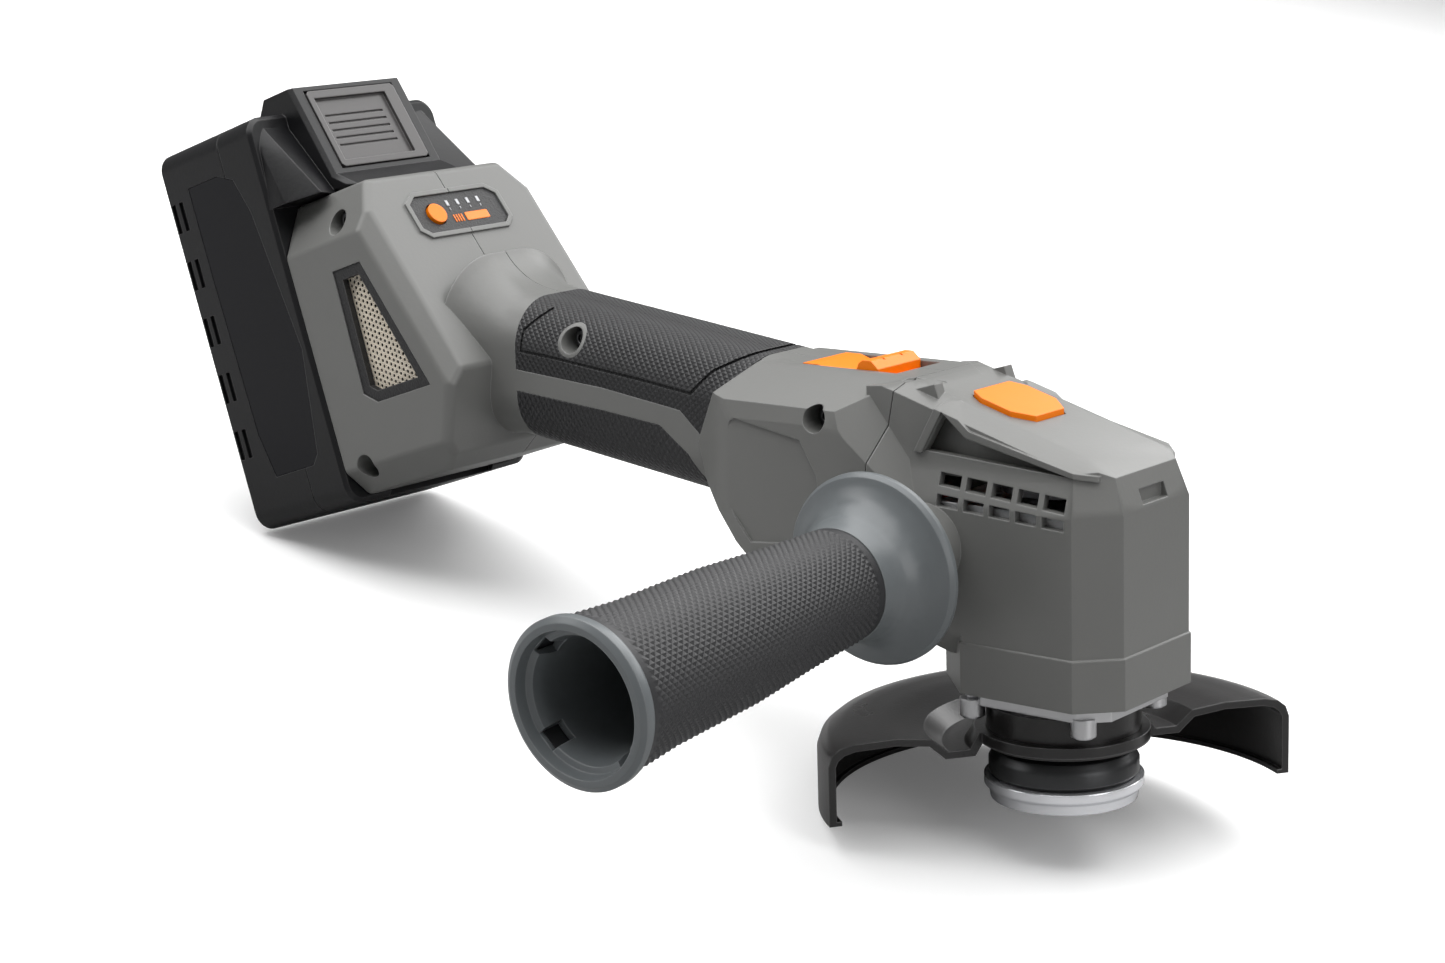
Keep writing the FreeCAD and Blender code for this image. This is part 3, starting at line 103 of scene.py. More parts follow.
# ---------------------------------------------------------------- settings
class GrinderSizes(bpy.types.PropertyGroup):
    knurl_pitch: bpy.props.FloatProperty(
        name="Knurl pitch", description="Distance between neighbouring points of the rubber's pattern",
        default=2.1 * MM, unit="LENGTH")
    knurl_depth: bpy.props.FloatProperty(
        name="Knurl depth", description="Height of the rubber's points", default=0.34 * MM, unit="LENGTH")
    handle_girth: bpy.props.FloatProperty(
        name="Handle radius", description="Mean radius of the main handle, which the pattern wraps round",
        default=20.8 * MM, unit="LENGTH")
    mesh_pitch: bpy.props.FloatProperty(
        name="Vent hole spacing", description="Distance between the holes of the vent sheets",
        default=1.75 * MM, unit="LENGTH")
    mesh_hole: bpy.props.FloatProperty(
        name="Vent hole radius", description="Radius of the holes of the vent sheets",
        default=0.56 * MM, unit="LENGTH")
    mesh_thickness: bpy.props.FloatProperty(
        name="Vent sheet thickness", description="Thickness of the perforated sheets",
        default=0.4 * MM, unit="LENGTH")
    edge_round: bpy.props.FloatProperty(
        name="Edge rounding", description="Radius that moulded edges are softened by",
        default=0.5 * MM, unit="LENGTH")
    smooth_angle: bpy.props.FloatProperty(
        name="Smooth below", description="Edges flatter than this are shaded smooth",
        default=math.radians(32), subtype="ANGLE")


class GrinderColours(bpy.types.PropertyGroup):
    housing: bpy.props.FloatVectorProperty(
        name="Housing", description="Grey of the housing mouldings",
        subtype="COLOR", default=(0.152, 0.153, 0.147))
    handle: bpy.props.FloatVectorProperty(
        name="Side handle", description="Blue-grey of the side handle",
        subtype="COLOR", default=(0.125, 0.137, 0.143))
    rubber: bpy.props.FloatVectorProperty(
        name="Rubber", description="Black of the grip rubber",
        subtype="COLOR", default=(0.024, 0.024, 0.026))
    accent: bpy.props.FloatVectorProperty(
        name="Accent", description="Orange of the switch and buttons",
        subtype="COLOR", default=(1.0, 0.22, 0.0))
    casing: bpy.props.FloatVectorProperty(
        name="Battery case", description="Black of the battery's case",
        subtype="COLOR", default=(0.007, 0.007, 0.008))


def sizes():
    return bpy.context.scene.grinder_sizes


def colours():
    return bpy.context.scene.grinder_colours


# ---------------------------------------------------------------- shader helpers
class Graph:
    """Short calls for building a node tree."""

    def __init__(self, tree):
        self.tree = tree

    def add(self, kind, settings=None, **inputs):
        node = self.tree.nodes.new(kind)
        for name, value in (settings or {}).items():
            setattr(node, name, value)
        for name, value in inputs.items():
            self.feed(node.inputs[name.replace("_", " ")], value)
        return node

    def feed(self, socket, value):
        if isinstance(value, bpy.types.NodeSocket):
            self.tree.links.new(value, socket)
        else:
            socket.default_value = value

    def math(self, operation, a, b=0.0, c=0.0, clamp=False):
        node = self.tree.nodes.new("ShaderNodeMath")
        node.operation = operation
        node.use_clamp = clamp
        for socket, value in zip(node.inputs, (a, b, c)):
            self.feed(socket, value)
        return node.outputs[0]

    def vector(self, operation, a, b=(0.0, 0.0, 0.0)):
        node = self.tree.nodes.new("ShaderNodeVectorMath")
        node.operation = operation
        self.feed(node.inputs[0], a)
        self.feed(node.inputs[1], b)
        return node.outputs["Value" if operation == "DOT_PRODUCT" else "Vector"]

    def mix(self, factor, a, b):
        node = self.tree.nodes.new("ShaderNodeMix")
        node.data_type = "RGBA"
        self.feed(node.inputs["Factor"], factor)
        self.feed(node.inputs["A"], a)
        self.feed(node.inputs["B"], b)
        return node.outputs["Result"]


def new_group(name, inputs, outputs):
    """A shader node group with named sockets. Inputs are (name, type, default)."""
    tree = bpy.data.node_groups.new(name, "ShaderNodeTree")
    for label, kind, default in inputs:
        socket = tree.interface.new_socket(label, in_out="INPUT", socket_type=kind)
        if default is not None:
            socket.default_value = default
    for label, kind in outputs:
        tree.interface.new_socket(label, in_out="OUTPUT", socket_type=kind)
    graph = Graph(tree)
    entry = tree.nodes.new("NodeGroupInput")
    leave = tree.nodes.new("NodeGroupOutput")
    return graph, entry.outputs, leave.inputs


FLOAT, VECTOR = "NodeSocketFloat", "NodeSocketVector"
BEVEL_SAMPLES = 6
EDGE_GAIN = 5.0         # how fast the edge mask rises as a rounded normal leaves the flat one
GROOVE_WIDTH = 3.0      # one over the part of a point's height that the painted shade between points takes


def make_soft_edges():
    """Rounds the look of hard edges and marks where they are."""
    graph, given, result = new_group(
        "Soft edges", [("Radius", FLOAT, 0.5 * MM)], [("Normal", VECTOR), ("Edge", FLOAT)])
    soft = graph.add("ShaderNodeBevel", {"samples": BEVEL_SAMPLES}, Radius=given["Radius"])
    plain = graph.add("ShaderNodeNewGeometry")
    alike = graph.vector("DOT_PRODUCT", soft.outputs["Normal"], plain.outputs["Normal"])
    turned = graph.math("SUBTRACT", 1.0, alike)
    edge = graph.math("MULTIPLY", turned, EDGE_GAIN, clamp=True)
    graph.feed(result["Normal"], soft.outputs["Normal"])
    graph.feed(result["Edge"], edge)
    return graph.tree


def make_grain():
    """Fine moulded or cast grain, as a height, and a slow change of tone, as a value round zero."""
    graph, given, result = new_group(
        "Grain", [("Scale", FLOAT, 900.0), ("Cloud scale", FLOAT, 25.0)], [("Height", FLOAT), ("Tone", FLOAT)])
    place = graph.add("ShaderNodeTexCoord").outputs["Object"]
    fine = graph.add("ShaderNodeTexNoise", Vector=place, Scale=given["Scale"], Detail=2.0)
    cloud = graph.add("ShaderNodeTexNoise", Vector=place, Scale=given["Cloud scale"], Detail=4.0)
    tone = graph.math("SUBTRACT", cloud.outputs["Fac"], 0.5)
    graph.feed(result["Height"], fine.outputs["Fac"])
    graph.feed(result["Tone"], tone)
    return graph.tree


def make_diamonds():
    """Small pyramids in a diagonal lattice, wrapped round the X axis of the incoming place, with a mask for painted
    shade in the grooves between them.
    """
    graph, given, result = new_group(
        "Diamond rubber", [("Place", VECTOR, None), ("Pitch", FLOAT, 1.8 * MM), ("Radius", FLOAT, 20 * MM)],
        [("Height", FLOAT), ("Groove shade", FLOAT)])
    parts = graph.add("ShaderNodeSeparateXYZ", Vector=given["Place"])
    turn = graph.math("ARCTAN2", parts.outputs["Y"], parts.outputs["Z"])
    around = graph.math("MULTIPLY", turn, given["Radius"])
    along = parts.outputs["X"]
    waves = []
    for operation in ("ADD", "SUBTRACT"):
        diagonal = graph.math(operation, along, around)
        steps = graph.math("DIVIDE", diagonal, given["Pitch"])
        waves.append(graph.math("PINGPONG", steps, 0.5))
    height = graph.math("MULTIPLY", graph.math("MINIMUM", *waves), 2.0)
    groove_shade = graph.math("SUBTRACT", 1.0, graph.math("MULTIPLY", height, GROOVE_WIDTH, clamp=True))
    graph.feed(result["Height"], height)
    graph.feed(result["Groove shade"], groove_shade)
    return graph.tree


def make_turning():
    """Fine lines of turned metal round the Z axis of the incoming place."""
    graph, given, result = new_group(
        "Turned lines", [("Place", VECTOR, None), ("Lines", FLOAT, 4000.0)], [("Height", FLOAT)])
    parts = graph.add("ShaderNodeSeparateXYZ", Vector=given["Place"])
    x_squared, y_squared = (graph.math("MULTIPLY", parts.outputs[axis], parts.outputs[axis]) for axis in "XY")
    radius = graph.math("SQRT", graph.math("ADD", x_squared, y_squared))
    reach = graph.math("ADD", radius, parts.outputs["Z"])
    lines = graph.add(
        "ShaderNodeTexNoise", {"noise_dimensions": "1D"}, W=reach, Scale=given["Lines"], Detail=1.0)
    graph.feed(result["Height"], lines.outputs["Fac"])
    return graph.tree


GROUPS = {}


def group(name):
    """The shared node group of this name, made the first time that it is asked for."""
    makers = {
        "Soft edges": make_soft_edges, "Grain": make_grain,
        "Diamond rubber": make_diamonds, "Turned lines": make_turning,
    }
    if name not in GROUPS:
        GROUPS[name] = makers[name]()
    return GROUPS[name]


def placed_group(graph, name, **inputs):
    node = graph.tree.nodes.new("ShaderNodeGroup")
    node.node_tree = group(name)
    for label, value in inputs.items():
        graph.feed(node.inputs[label.replace("_", " ")], value)
    return node


def bump(graph, height, distance, normal, strength=1.0):
    node = graph.add("ShaderNodeBump", Strength=strength, Distance=distance, Height=height, Normal=normal)
    return node.outputs["Normal"]


EDGE_LIFT = 0.30        # how far an edge's colour goes towards white, a painted highlight that partly stands for wear
# painted shade in the grooves between the rubber's points
GROOVE_SHADE_SHARE = 0.6      # how dark the painted shade on the floors of the grooves gets
GROOVE_SHADE_BLACK = (0.003, 0.003, 0.003, 1.0)


def surface(name, colour, rough, metal=0.0, edge_gain=0.35, edge_radius=0.5 * MM, tone=0.10,
            grain=0.0, grain_scale=900.0, rough_change=0.10, specular=0.5, extra=None):
    """A material with soft lighter edges, a slow change of tone and fine grain.

    extra(graph, normal) adds a relief: it returns a new normal, and a mask of the grooves for painted shade, or None.
    """
    material = bpy.data.materials.new(name)
    material.use_nodes = True
    graph = Graph(material.node_tree)
    shader = material.node_tree.nodes["Principled BSDF"]
    edges = placed_group(graph, "Soft edges", Radius=edge_radius)
    grains = placed_group(graph, "Grain", Scale=grain_scale)
    normal = edges.outputs["Normal"]
    base = (*colour, 1.0)
    light = tuple(min(1.0, c + (1.0 - c) * EDGE_LIFT) for c in colour) + (1.0,)
    dark = tuple(c * (1.0 - tone) for c in colour) + (1.0,)
    cloud = graph.math("MULTIPLY_ADD", grains.outputs["Tone"], 2.0, 0.5, clamp=True)
    body = graph.mix(cloud, dark, base)
    groove_shade = None
    if extra:
        normal, groove_shade = extra(graph, normal)
    if groove_shade is not None:
        # painted shade: the rubber's grooves are darkened towards black
        body = graph.mix(graph.math("MULTIPLY", groove_shade, GROOVE_SHADE_SHARE), body, GROOVE_SHADE_BLACK)
    # painted highlight: edges are lightened towards white, partly for light caught on rounded edges and partly for
    # wear
    edge_wear_and_highlight = graph.mix(graph.math("MULTIPLY", edges.outputs["Edge"], edge_gain), body, light)
    if grain > 0:
        normal = bump(graph, grains.outputs["Height"], grain, normal)
    roughness = graph.math("MULTIPLY_ADD", grains.outputs["Tone"], rough_change, rough, clamp=True)
    graph.feed(shader.inputs["Base Color"], edge_wear_and_highlight)
    graph.feed(shader.inputs["Roughness"], roughness)
    graph.feed(shader.inputs["Normal"], normal)
    shader.inputs["Metallic"].default_value = metal
    shader.inputs["Specular IOR Level"].default_value = specular
    return material


def handle_place(graph):
    """Object coordinates turned so that X runs along the main handle, with its middle line at zero."""
    rear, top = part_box("grip_top_right")[0][0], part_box("grip_top_left")[1][2]
    start = (rear, 0.0, top - sizes().handle_girth)
    tool_x = TOOL.col[0].to_3d()
    angle = math.atan2(tool_x.z, tool_x.x) - HANDLE_SLOPE
    place = graph.add("ShaderNodeTexCoord").outputs["Object"]
    node = graph.add("ShaderNodeMapping", {"vector_type": "TEXTURE"}, Vector=place)
    node.inputs["Location"].default_value = start
    node.inputs["Rotation"].default_value = (0.0, -angle, 0.0)
    return node.outputs["Vector"]


def grip_relief(graph, normal):
    """The diamond pattern of the main handle's rubber, and the mask for painted shade in its grooves."""
    pattern = placed_group(
        graph, "Diamond rubber", Place=handle_place(graph), Pitch=sizes().knurl_pitch, Radius=sizes().handle_girth)
    return bump(graph, pattern.outputs["Height"], sizes().knurl_depth, normal), pattern.outputs["Groove shade"]


GROOVE_GAIN = 30.0      # how fast the painted shade on the sleeve deepens towards its low lines


def sleeve_groove_shade(graph, normal):
    """Leaves the shape as it is and marks the low lines between the sleeve's points, for painted shade."""
    bend = graph.add("ShaderNodeNewGeometry").outputs["Pointiness"]
    hollow = graph.math("SUBTRACT", 0.5, bend)
    return normal, graph.math("MULTIPLY", hollow, GROOVE_GAIN, clamp=True)


TURNED_DEPTH, TURNED_STRENGTH = 0.03 * MM, 0.5


def turned_relief(graph, normal):
    """Lines round the spindle's axis, as a lathe leaves them."""
    place = graph.add("ShaderNodeTexCoord").outputs["Object"]
    upright = graph.add("ShaderNodeMapping", {"vector_type": "TEXTURE"}, Vector=place)
    upright.inputs["Rotation"].default_value = (0.0, math.atan2(SPINDLE_AXIS.x, SPINDLE_AXIS.z), 0.0)
    lines = placed_group(graph, "Turned lines", Place=upright.outputs["Vector"])
    return bump(graph, lines.outputs["Height"], TURNED_DEPTH, normal, TURNED_STRENGTH), None


FINISHES = {}


def build_finishes():
    """Makes every finish, named after the material slots and the extra looks that the pieces ask for."""
    c = colours()
    housing, handle, rubber, accent, casing = (
        tuple(colour) for colour in (c.housing, c.handle, c.rubber, c.accent, c.casing))
    round_by = sizes().edge_round
    FINISHES.update({
        "housing_grey": surface(
            "Housing grey", housing, 0.40, edge_radius=round_by, grain=0.025 * MM, tone=0.06),
        "handle_grey": surface(
            "Side handle grey", handle, 0.34, edge_radius=round_by, grain=0.015 * MM, tone=0.06),
        "grip_rubber": surface("Grip rubber", rubber, 0.45, edge_gain=0.12, extra=grip_relief, tone=0.2),
        "sleeve_rubber": surface(
            "Sleeve rubber", rubber, 0.46, edge_gain=0.15, edge_radius=0.12 * MM, tone=0.2,
            extra=sleeve_groove_shade),
        "black_plastic": surface(
            "Black moulding", casing, 0.36, edge_gain=0.16, grain=0.03 * MM, tone=0.2, specular=0.36),
        "gloss_black": surface(
            "Smoked gloss", (0.003, 0.003, 0.005), 0.10, edge_gain=0.1, specular=0.25, tone=0.1,
            rough_change=0.04),
        "orange": surface(
            "Orange moulding", accent, 0.38, edge_gain=0.12, grain=0.01 * MM, tone=0.08, specular=0.3),
        "latch_grey": surface("Latch grey", (0.060, 0.056, 0.056), 0.30, edge_gain=0.35, tone=0.1),
        "mesh": surface(
            "Pale sheet metal", (0.95, 0.86, 0.72), 0.34, edge_gain=0.1, edge_radius=0.1 * MM),
        "steel": surface("Ground steel", (0.52, 0.52, 0.54), 0.30, metal=1.0, grain=0.01 * MM),
        "zinc": surface(
            "Bright zinc", (0.90, 0.91, 0.94), 0.20, metal=0.75, tone=0.05, extra=turned_relief),
        "black_steel": surface(
            "Black coated steel", (0.014, 0.013, 0.013), 0.29, edge_gain=0.35, grain=0.03 * MM,
            grain_scale=1400.0),
        "dark_steel": surface(
            "Dark oxide steel", (0.055, 0.056, 0.058), 0.38, metal=0.7, edge_gain=0.4,
            extra=turned_relief),
        "aluminium": surface(
            "Cast aluminium", (0.60, 0.60, 0.61), 0.42, metal=1.0, grain=0.05 * MM, grain_scale=600.0),
        "brass": surface("Turned brass", (0.72, 0.52, 0.22), 0.28, metal=1.0),
        "copper": surface("Copper", (0.72, 0.33, 0.16), 0.32, metal=1.0),
        "board": surface("Circuit board", (0.02, 0.11, 0.05), 0.35),
        # laminations: dark steel, darkened further as painted shade for the housing's interior seen through the vents
        "lamination": surface("Laminations", (0.06, 0.06, 0.065), 0.5, metal=0.6),
        "cell_wrap": surface("Cell wrap", (0.03, 0.14, 0.32), 0.28),
        "lead": surface("Lead insulation", (0.42, 0.03, 0.02), 0.40),
        "vent_black": surface(
            "Rough black frame", (0.016, 0.016, 0.017), 0.50, edge_gain=0.3, grain=0.25 * MM,
            grain_scale=1500.0),
        "mark_orange": surface("Orange print", accent, 0.35, edge_gain=0.0),
        "mark_white": surface("Pale print", (0.55, 0.56, 0.58), 0.35, edge_gain=0.0),
    })


# ---------------------------------------------------------------- carried-over parts
OWN_FINISH = {"vent_frame_right": "vent_black", "vent_frame_left": "vent_black", "control_panel": "vent_black"}


WELD_GAP = 0.002 * MM        # triangles of a carried-over part are joined where they are closer than this
FLAT_WEIGHT = 50             # how strongly large faces set the shading of the ones beside them


def make_smoothing():
    """A modifier that joins the loose triangles and smooths the edges flatter than an angle."""
    tree = bpy.data.node_groups.new("Weld and smooth", "GeometryNodeTree")
    tree.is_modifier = True
    tree.interface.new_socket("Geometry", in_out="INPUT", socket_type="NodeSocketGeometry")
    tree.interface.new_socket("Geometry", in_out="OUTPUT", socket_type="NodeSocketGeometry")
    nodes, link = tree.nodes, tree.links.new
    entry, leave = nodes.new("NodeGroupInput"), nodes.new("NodeGroupOutput")
    weld = nodes.new("GeometryNodeMergeByDistance")
    weld.inputs["Distance"].default_value = WELD_GAP
    bend = nodes.new("GeometryNodeInputMeshEdgeAngle")
    flat = nodes.new("FunctionNodeCompare")
    flat.data_type, flat.operation = "FLOAT", "LESS_EQUAL"
    flat.inputs["B"].default_value = sizes().smooth_angle
    faces, edges = nodes.new("GeometryNodeSetShadeSmooth"), nodes.new("GeometryNodeSetShadeSmooth")
    faces.domain, edges.domain = "FACE", "EDGE"
    link(entry.outputs["Geometry"], weld.inputs["Geometry"])
    link(weld.outputs["Geometry"], faces.inputs["Geometry"])
    link(faces.outputs["Geometry"], edges.inputs["Geometry"])
    link(bend.outputs["Unsigned Angle"], flat.inputs["A"])
    link(flat.outputs["Result"], edges.inputs["Shade Smooth"])
    link(edges.outputs["Geometry"], leave.inputs["Geometry"])
    return tree


def paint(thing, finish):
    """Gives every material slot of a part one finish."""
    if not thing.material_slots:
        thing.data.materials.append(FINISHES[finish])
    for place in thing.material_slots:
        place.material = FINISHES[finish]


class GRINDER_OT_carried_parts(bpy.types.Operator):
    """Smooths every carried-over part and gives it its finish"""

    bl_idname = "grinder.carried_parts"
    bl_label = "Carried-over parts"

    def execute(self, context):
        smoothing = make_smoothing()
        for name, part in frame["nodes"].items():
            paint(part, OWN_FINISH.get(name, SLOT_OF[name]))
            part.modifiers.new("Weld and smooth", "NODES").node_group = smoothing
            weigh = part.modifiers.new("Flat faces first", "WEIGHTED_NORMAL")
            weigh.mode, weigh.keep_sharp, weigh.weight = "FACE_AREA", True, FLAT_WEIGHT
        return {"FINISHED"}


# ---------------------------------------------------------------- helpers for new pieces
def finish_mesh(bm, name, finish, body, smooth=True, stands_for=()):
    """Turns a bmesh into a piece at the origin that rides on a body."""
    bmesh.ops.remove_doubles(bm, verts=bm.verts, dist=0.001 * MM)
    bmesh.ops.recalc_face_normals(bm, faces=bm.faces)
    mesh = bpy.data.meshes.new(name)
    bm.to_mesh(mesh)
    bm.free()
    for polygon in mesh.polygons:
        polygon.use_smooth = smooth
    piece = bpy.data.objects.new(name, mesh)
    bpy.context.scene.collection.objects.link(piece)
    mesh.materials.append(FINISHES[finish])
    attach(piece, body)
    if stands_for:
        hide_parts(*stands_for)
    return piece


def welded_copy(node):
    """A bmesh copy of a carried-over part with its triangles joined."""
    bm = bmesh.new()
    bm.from_mesh(frame["nodes"][node].data)
    bmesh.ops.remove_doubles(bm, verts=bm.verts, dist=WELD_GAP)
    return bm


# ---------------------------------------------------------------- perforated vent sheets
HOLE_SIDES = 12
CELL_JOIN = 0.02 * MM        # neighbouring cells share their edges where they are closer than this


def perforated_cell(hole, pitch):
    """A mesh of one hexagonal cell with a round hole, in the XZ plane round the origin."""
    bm = bmesh.new()
    facing = Matrix.Rotation(math.radians(90), 4, "X")
    loops = []
    for radius in (hole, pitch / math.sqrt(3)):
        verts = bmesh.ops.create_circle(bm, segments=HOLE_SIDES, radius=radius, matrix=facing)["verts"]
        loops += {e for v in verts for e in v.link_edges}
    for vert in verts:
        from_flat = (math.degrees(math.atan2(vert.co.z, vert.co.x)) + 360) % 60 - 30
        if abs(from_flat) < 1:
            vert.co *= (pitch / 2) / vert.co.length
    bmesh.ops.bridge_loops(bm, edges=loops)
    mesh = bpy.data.meshes.new("vent cell")
    bm.to_mesh(mesh)
    bm.free()
    return mesh


def cut_to_outline(bm, node):
    """Cuts a flat sheet along the upright walls of a carried-over plate."""
    plate = welded_copy(node)
    for face in plate.faces:
        if abs(face.normal.y) < 0.1:
            bmesh.ops.bisect_plane(
                bm, geom=[*bm.verts, *bm.edges, *bm.faces],
                plane_co=face.calc_center_median(), plane_no=face.normal, clear_outer=True)
    plate.free()


def perforated_sheet(node, side):
    """A staggered perforated sheet cut to the outline of the plain plate that it stands for."""
    low, high = (Vector(c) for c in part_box(node))
    pitch = sizes().mesh_pitch
    cell = perforated_cell(sizes().mesh_hole, pitch)
    row_step = pitch * math.sqrt(3) / 2
    rows = int((high.z - low.z) / row_step) + 2
    across = int((high.x - low.x) / pitch) + 3
    bm = bmesh.new()
    for row in range(rows):
        for column in range(across):
            start = len(bm.verts)
            bm.from_mesh(cell)
            bm.verts.ensure_lookup_table()
            x = low.x + (column + 0.5 * (row % 2) - 1) * pitch
            place = (x, (low.y + high.y) / 2, low.z + row * row_step)
            bmesh.ops.translate(bm, verts=bm.verts[start:], vec=place)
    bmesh.ops.remove_doubles(bm, verts=bm.verts, dist=CELL_JOIN)
    cut_to_outline(bm, node)
    piece = finish_mesh(bm, f"vent_sheet_{side}", "mesh", "housing", smooth=False, stands_for=[node])
    wall = piece.modifiers.new("Sheet", "SOLIDIFY")
    wall.thickness = sizes().mesh_thickness
    wall.offset = 0.0


class GRINDER_OT_vent_sheets(bpy.types.Operator):
    """Makes the perforated sheets behind the rear vents"""

    bl_idname = "grinder.vent_sheets"
    bl_label = "Vent sheets"

    def execute(self, context):
        for side in ("right", "left"):
            perforated_sheet(f"vent_mesh_{side}", side)
        return {"FINISHED"}


# ---------------------------------------------------------------- control panel marks
PANEL_FACE = 0.70            # height of the panel's face over the middle of the panel's box, mm
MARK_THICK = 0.12            # mm
STEP_PITCH, STEP_START = 4.3, -3.0       # the level lights, mm along the panel
STRIPE_PITCH, STRIPE_START = 1.05, -3.2  # the level bar's stripes


def rounded_plate(width, height, corner):
    """A bmesh of a thin plate round the origin, with rounded upright corners."""
    bm = bmesh.new()
    bmesh.ops.create_cube(bm, size=1.0)
    bmesh.ops.scale(bm, verts=bm.verts, vec=(width, height, MARK_THICK))
    upright = [e for e in bm.edges if abs(e.verts[0].co.z - e.verts[1].co.z) > MARK_THICK / 2]
    bmesh.ops.bevel(
        bm, geom=upright, offset=corner, offset_type="OFFSET", affect="EDGES", segments=3, profile=0.5, material=-1)
    return bm


def panel_piece(name, finish, plates):
    """One piece of several thin plates, given in mm as (width, height, x, y, corner), on the panel's face."""
    marks = bmesh.new()
    held = bpy.data.meshes.new(name)
    for width, height, x, y, corner in plates:
        plate = rounded_plate(width, height, corner)
        bmesh.ops.translate(plate, verts=plate.verts, vec=(x, y, PANEL_FACE + MARK_THICK / 2))
        plate.to_mesh(held)
        plate.free()
        marks.from_mesh(held)
    bmesh.ops.scale(marks, verts=marks.verts, vec=(MM, MM, MM))
    bmesh.ops.transform(marks, matrix=PANEL, verts=marks.verts)
    finish_mesh(marks, name, finish, "housing", smooth=False)


class GRINDER_OT_panel_marks(bpy.types.Operator):
    """Makes the level bar, its stripes and the small lights of the control panel"""

    bl_idname = "grinder.panel_marks"
    bl_label = "Panel marks"

    def execute(self, context):
        stripes = [(0.55, 2.6, STRIPE_START + STRIPE_PITCH * i, -2.5, 0.1) for i in range(4)]
        panel_piece("panel_bar", "mark_orange", [*stripes, (9.6, 2.9, 6.2, -2.4, 0.4)])
        lights = [(1.1, 2.0, STEP_START + STEP_PITCH * i, 3.0, 0.2) for i in range(4)]
        ticks = [(0.35, 0.9, STEP_START + STEP_PITCH * i, 0.9, 0.05) for i in range(4)]
        panel_piece("panel_lights", "mark_white", [*lights, *ticks])
        return {"FINISHED"}


# ---------------------------------------------------------------- side handle's rubber sleeve
SLEEVE_MEAN_RADIUS = 17.0 * MM
SLEEVE_START, SLEEVE_LENGTH, SLEEVE_WALL = 64.1 * MM, 95.0 * MM, 2.2 * MM
SLEEVE_PROFILE = ((0.0, 14.5), (0.22, 15.5), (0.48, 17.2), (0.80, 17.8), (0.97, 19.0), (1.0, 19.0))
PLAIN_END_RINGS = 2


def sleeve_radius(t):
    """Outside radius of the sleeve at a share t of its length, from its narrow end at 0 to 1."""
    for (t0, r0), (t1, r1) in zip(SLEEVE_PROFILE, SLEEVE_PROFILE[1:]):
        if t <= t1:
            k = (t - t0) / (t1 - t0)
            return (r0 + (r1 - r0) * k) * MM
    return SLEEVE_PROFILE[-1][1] * MM


def side_origin():
    """Where the side handle's axis crosses the middle plane of the tool."""
    mount = next(m for m in frame["record"]["mounts"] if m["name"] == "side_handle_socket_left")
    position, axis = Vector(mount["pos_m"]), Vector(mount["axis"])
    return position - axis * (position.y / axis.y)


def knurled_tube():
    """The sleeve's outer skin round Z, with every second crossing of its grid raised to a point."""
    half = sizes().knurl_pitch / 2
    rings = int(SLEEVE_LENGTH / half / 2) * 2
    around = int(math.tau * SLEEVE_MEAN_RADIUS / half / 2) * 2
    bm = bmesh.new()
    bmesh.ops.create_grid(bm, x_segments=rings, y_segments=around, size=1.0)
    for vert in bm.verts:
        i, j = round((vert.co.x + 1) / 2 * rings), round((vert.co.y + 1) / 2 * around)
        t, angle = i / rings, math.tau * j / around
        vert.tag = (i + j) % 2 == 0 and PLAIN_END_RINGS < i < rings - PLAIN_END_RINGS
        radius = sleeve_radius(t) + (sizes().knurl_depth if vert.tag else 0.0)
        vert.co = (radius * math.cos(angle), radius * math.sin(angle), SLEEVE_START + t * SLEEVE_LENGTH)
    for face in list(bm.faces):
        low_corners = [v for v in face.verts if not v.tag]
        if len(low_corners) == 2:
            bmesh.utils.face_split(face, *low_corners)
    bmesh.ops.remove_doubles(bm, verts=bm.verts, dist=0.01 * MM)
    return bm


def add_bore(bm):
    """Turns the skin's two open ends inwards and joins them, so that it becomes a closed tube."""
    halfway = SLEEVE_START + SLEEVE_LENGTH / 2
    for far in (False, True):
        rim = [e for e in bm.edges if e.is_boundary and (e.verts[0].co.z > halfway) == far]
        made = bmesh.ops.extrude_edge_only(bm, edges=rim)["geom"]
        for vert in (v for v in made if isinstance(v, bmesh.types.BMVert)):
            shrink = 1 - SLEEVE_WALL / math.hypot(vert.co.x, vert.co.y)
            vert.co.x *= shrink
            vert.co.y *= shrink
    bmesh.ops.bridge_loops(bm, edges=[e for e in bm.edges if e.is_boundary])


class GRINDER_OT_side_sleeve(bpy.types.Operator):
    """Makes the side handle's knurled rubber sleeve"""

    bl_idname = "grinder.side_sleeve"
    bl_label = "Side handle sleeve"

    def execute(self, context):
        bm = knurled_tube()
        add_bore(bm)
        side = SLEEVE_AXIS.cross(Vector((0, 0, 1))).normalized()
        place = columns(side, SLEEVE_AXIS.cross(side), SLEEVE_AXIS, side_origin())
        bmesh.ops.transform(bm, matrix=place, verts=bm.verts)
        finish_mesh(
            bm, "side_sleeve", "sleeve_rubber", "side_handle",
            smooth=False, stands_for=["side_handle_grip"])
        return {"FINISHED"}


# ---------------------------------------------------------------- spindle thread
THREAD_ROOT, THREAD_CREST = 6.6, 7.02    # radii, mm
THREAD_LOW, THREAD_RISE = -9.0, 2.2      # where the turn starts along the spindle, and how far it climbs, mm
THREAD_PROFILE = ((THREAD_ROOT, 0.0), (THREAD_CREST, 0.35), (THREAD_CREST, 0.65), (THREAD_ROOT, 1.0))
THREAD_STEPS = 48


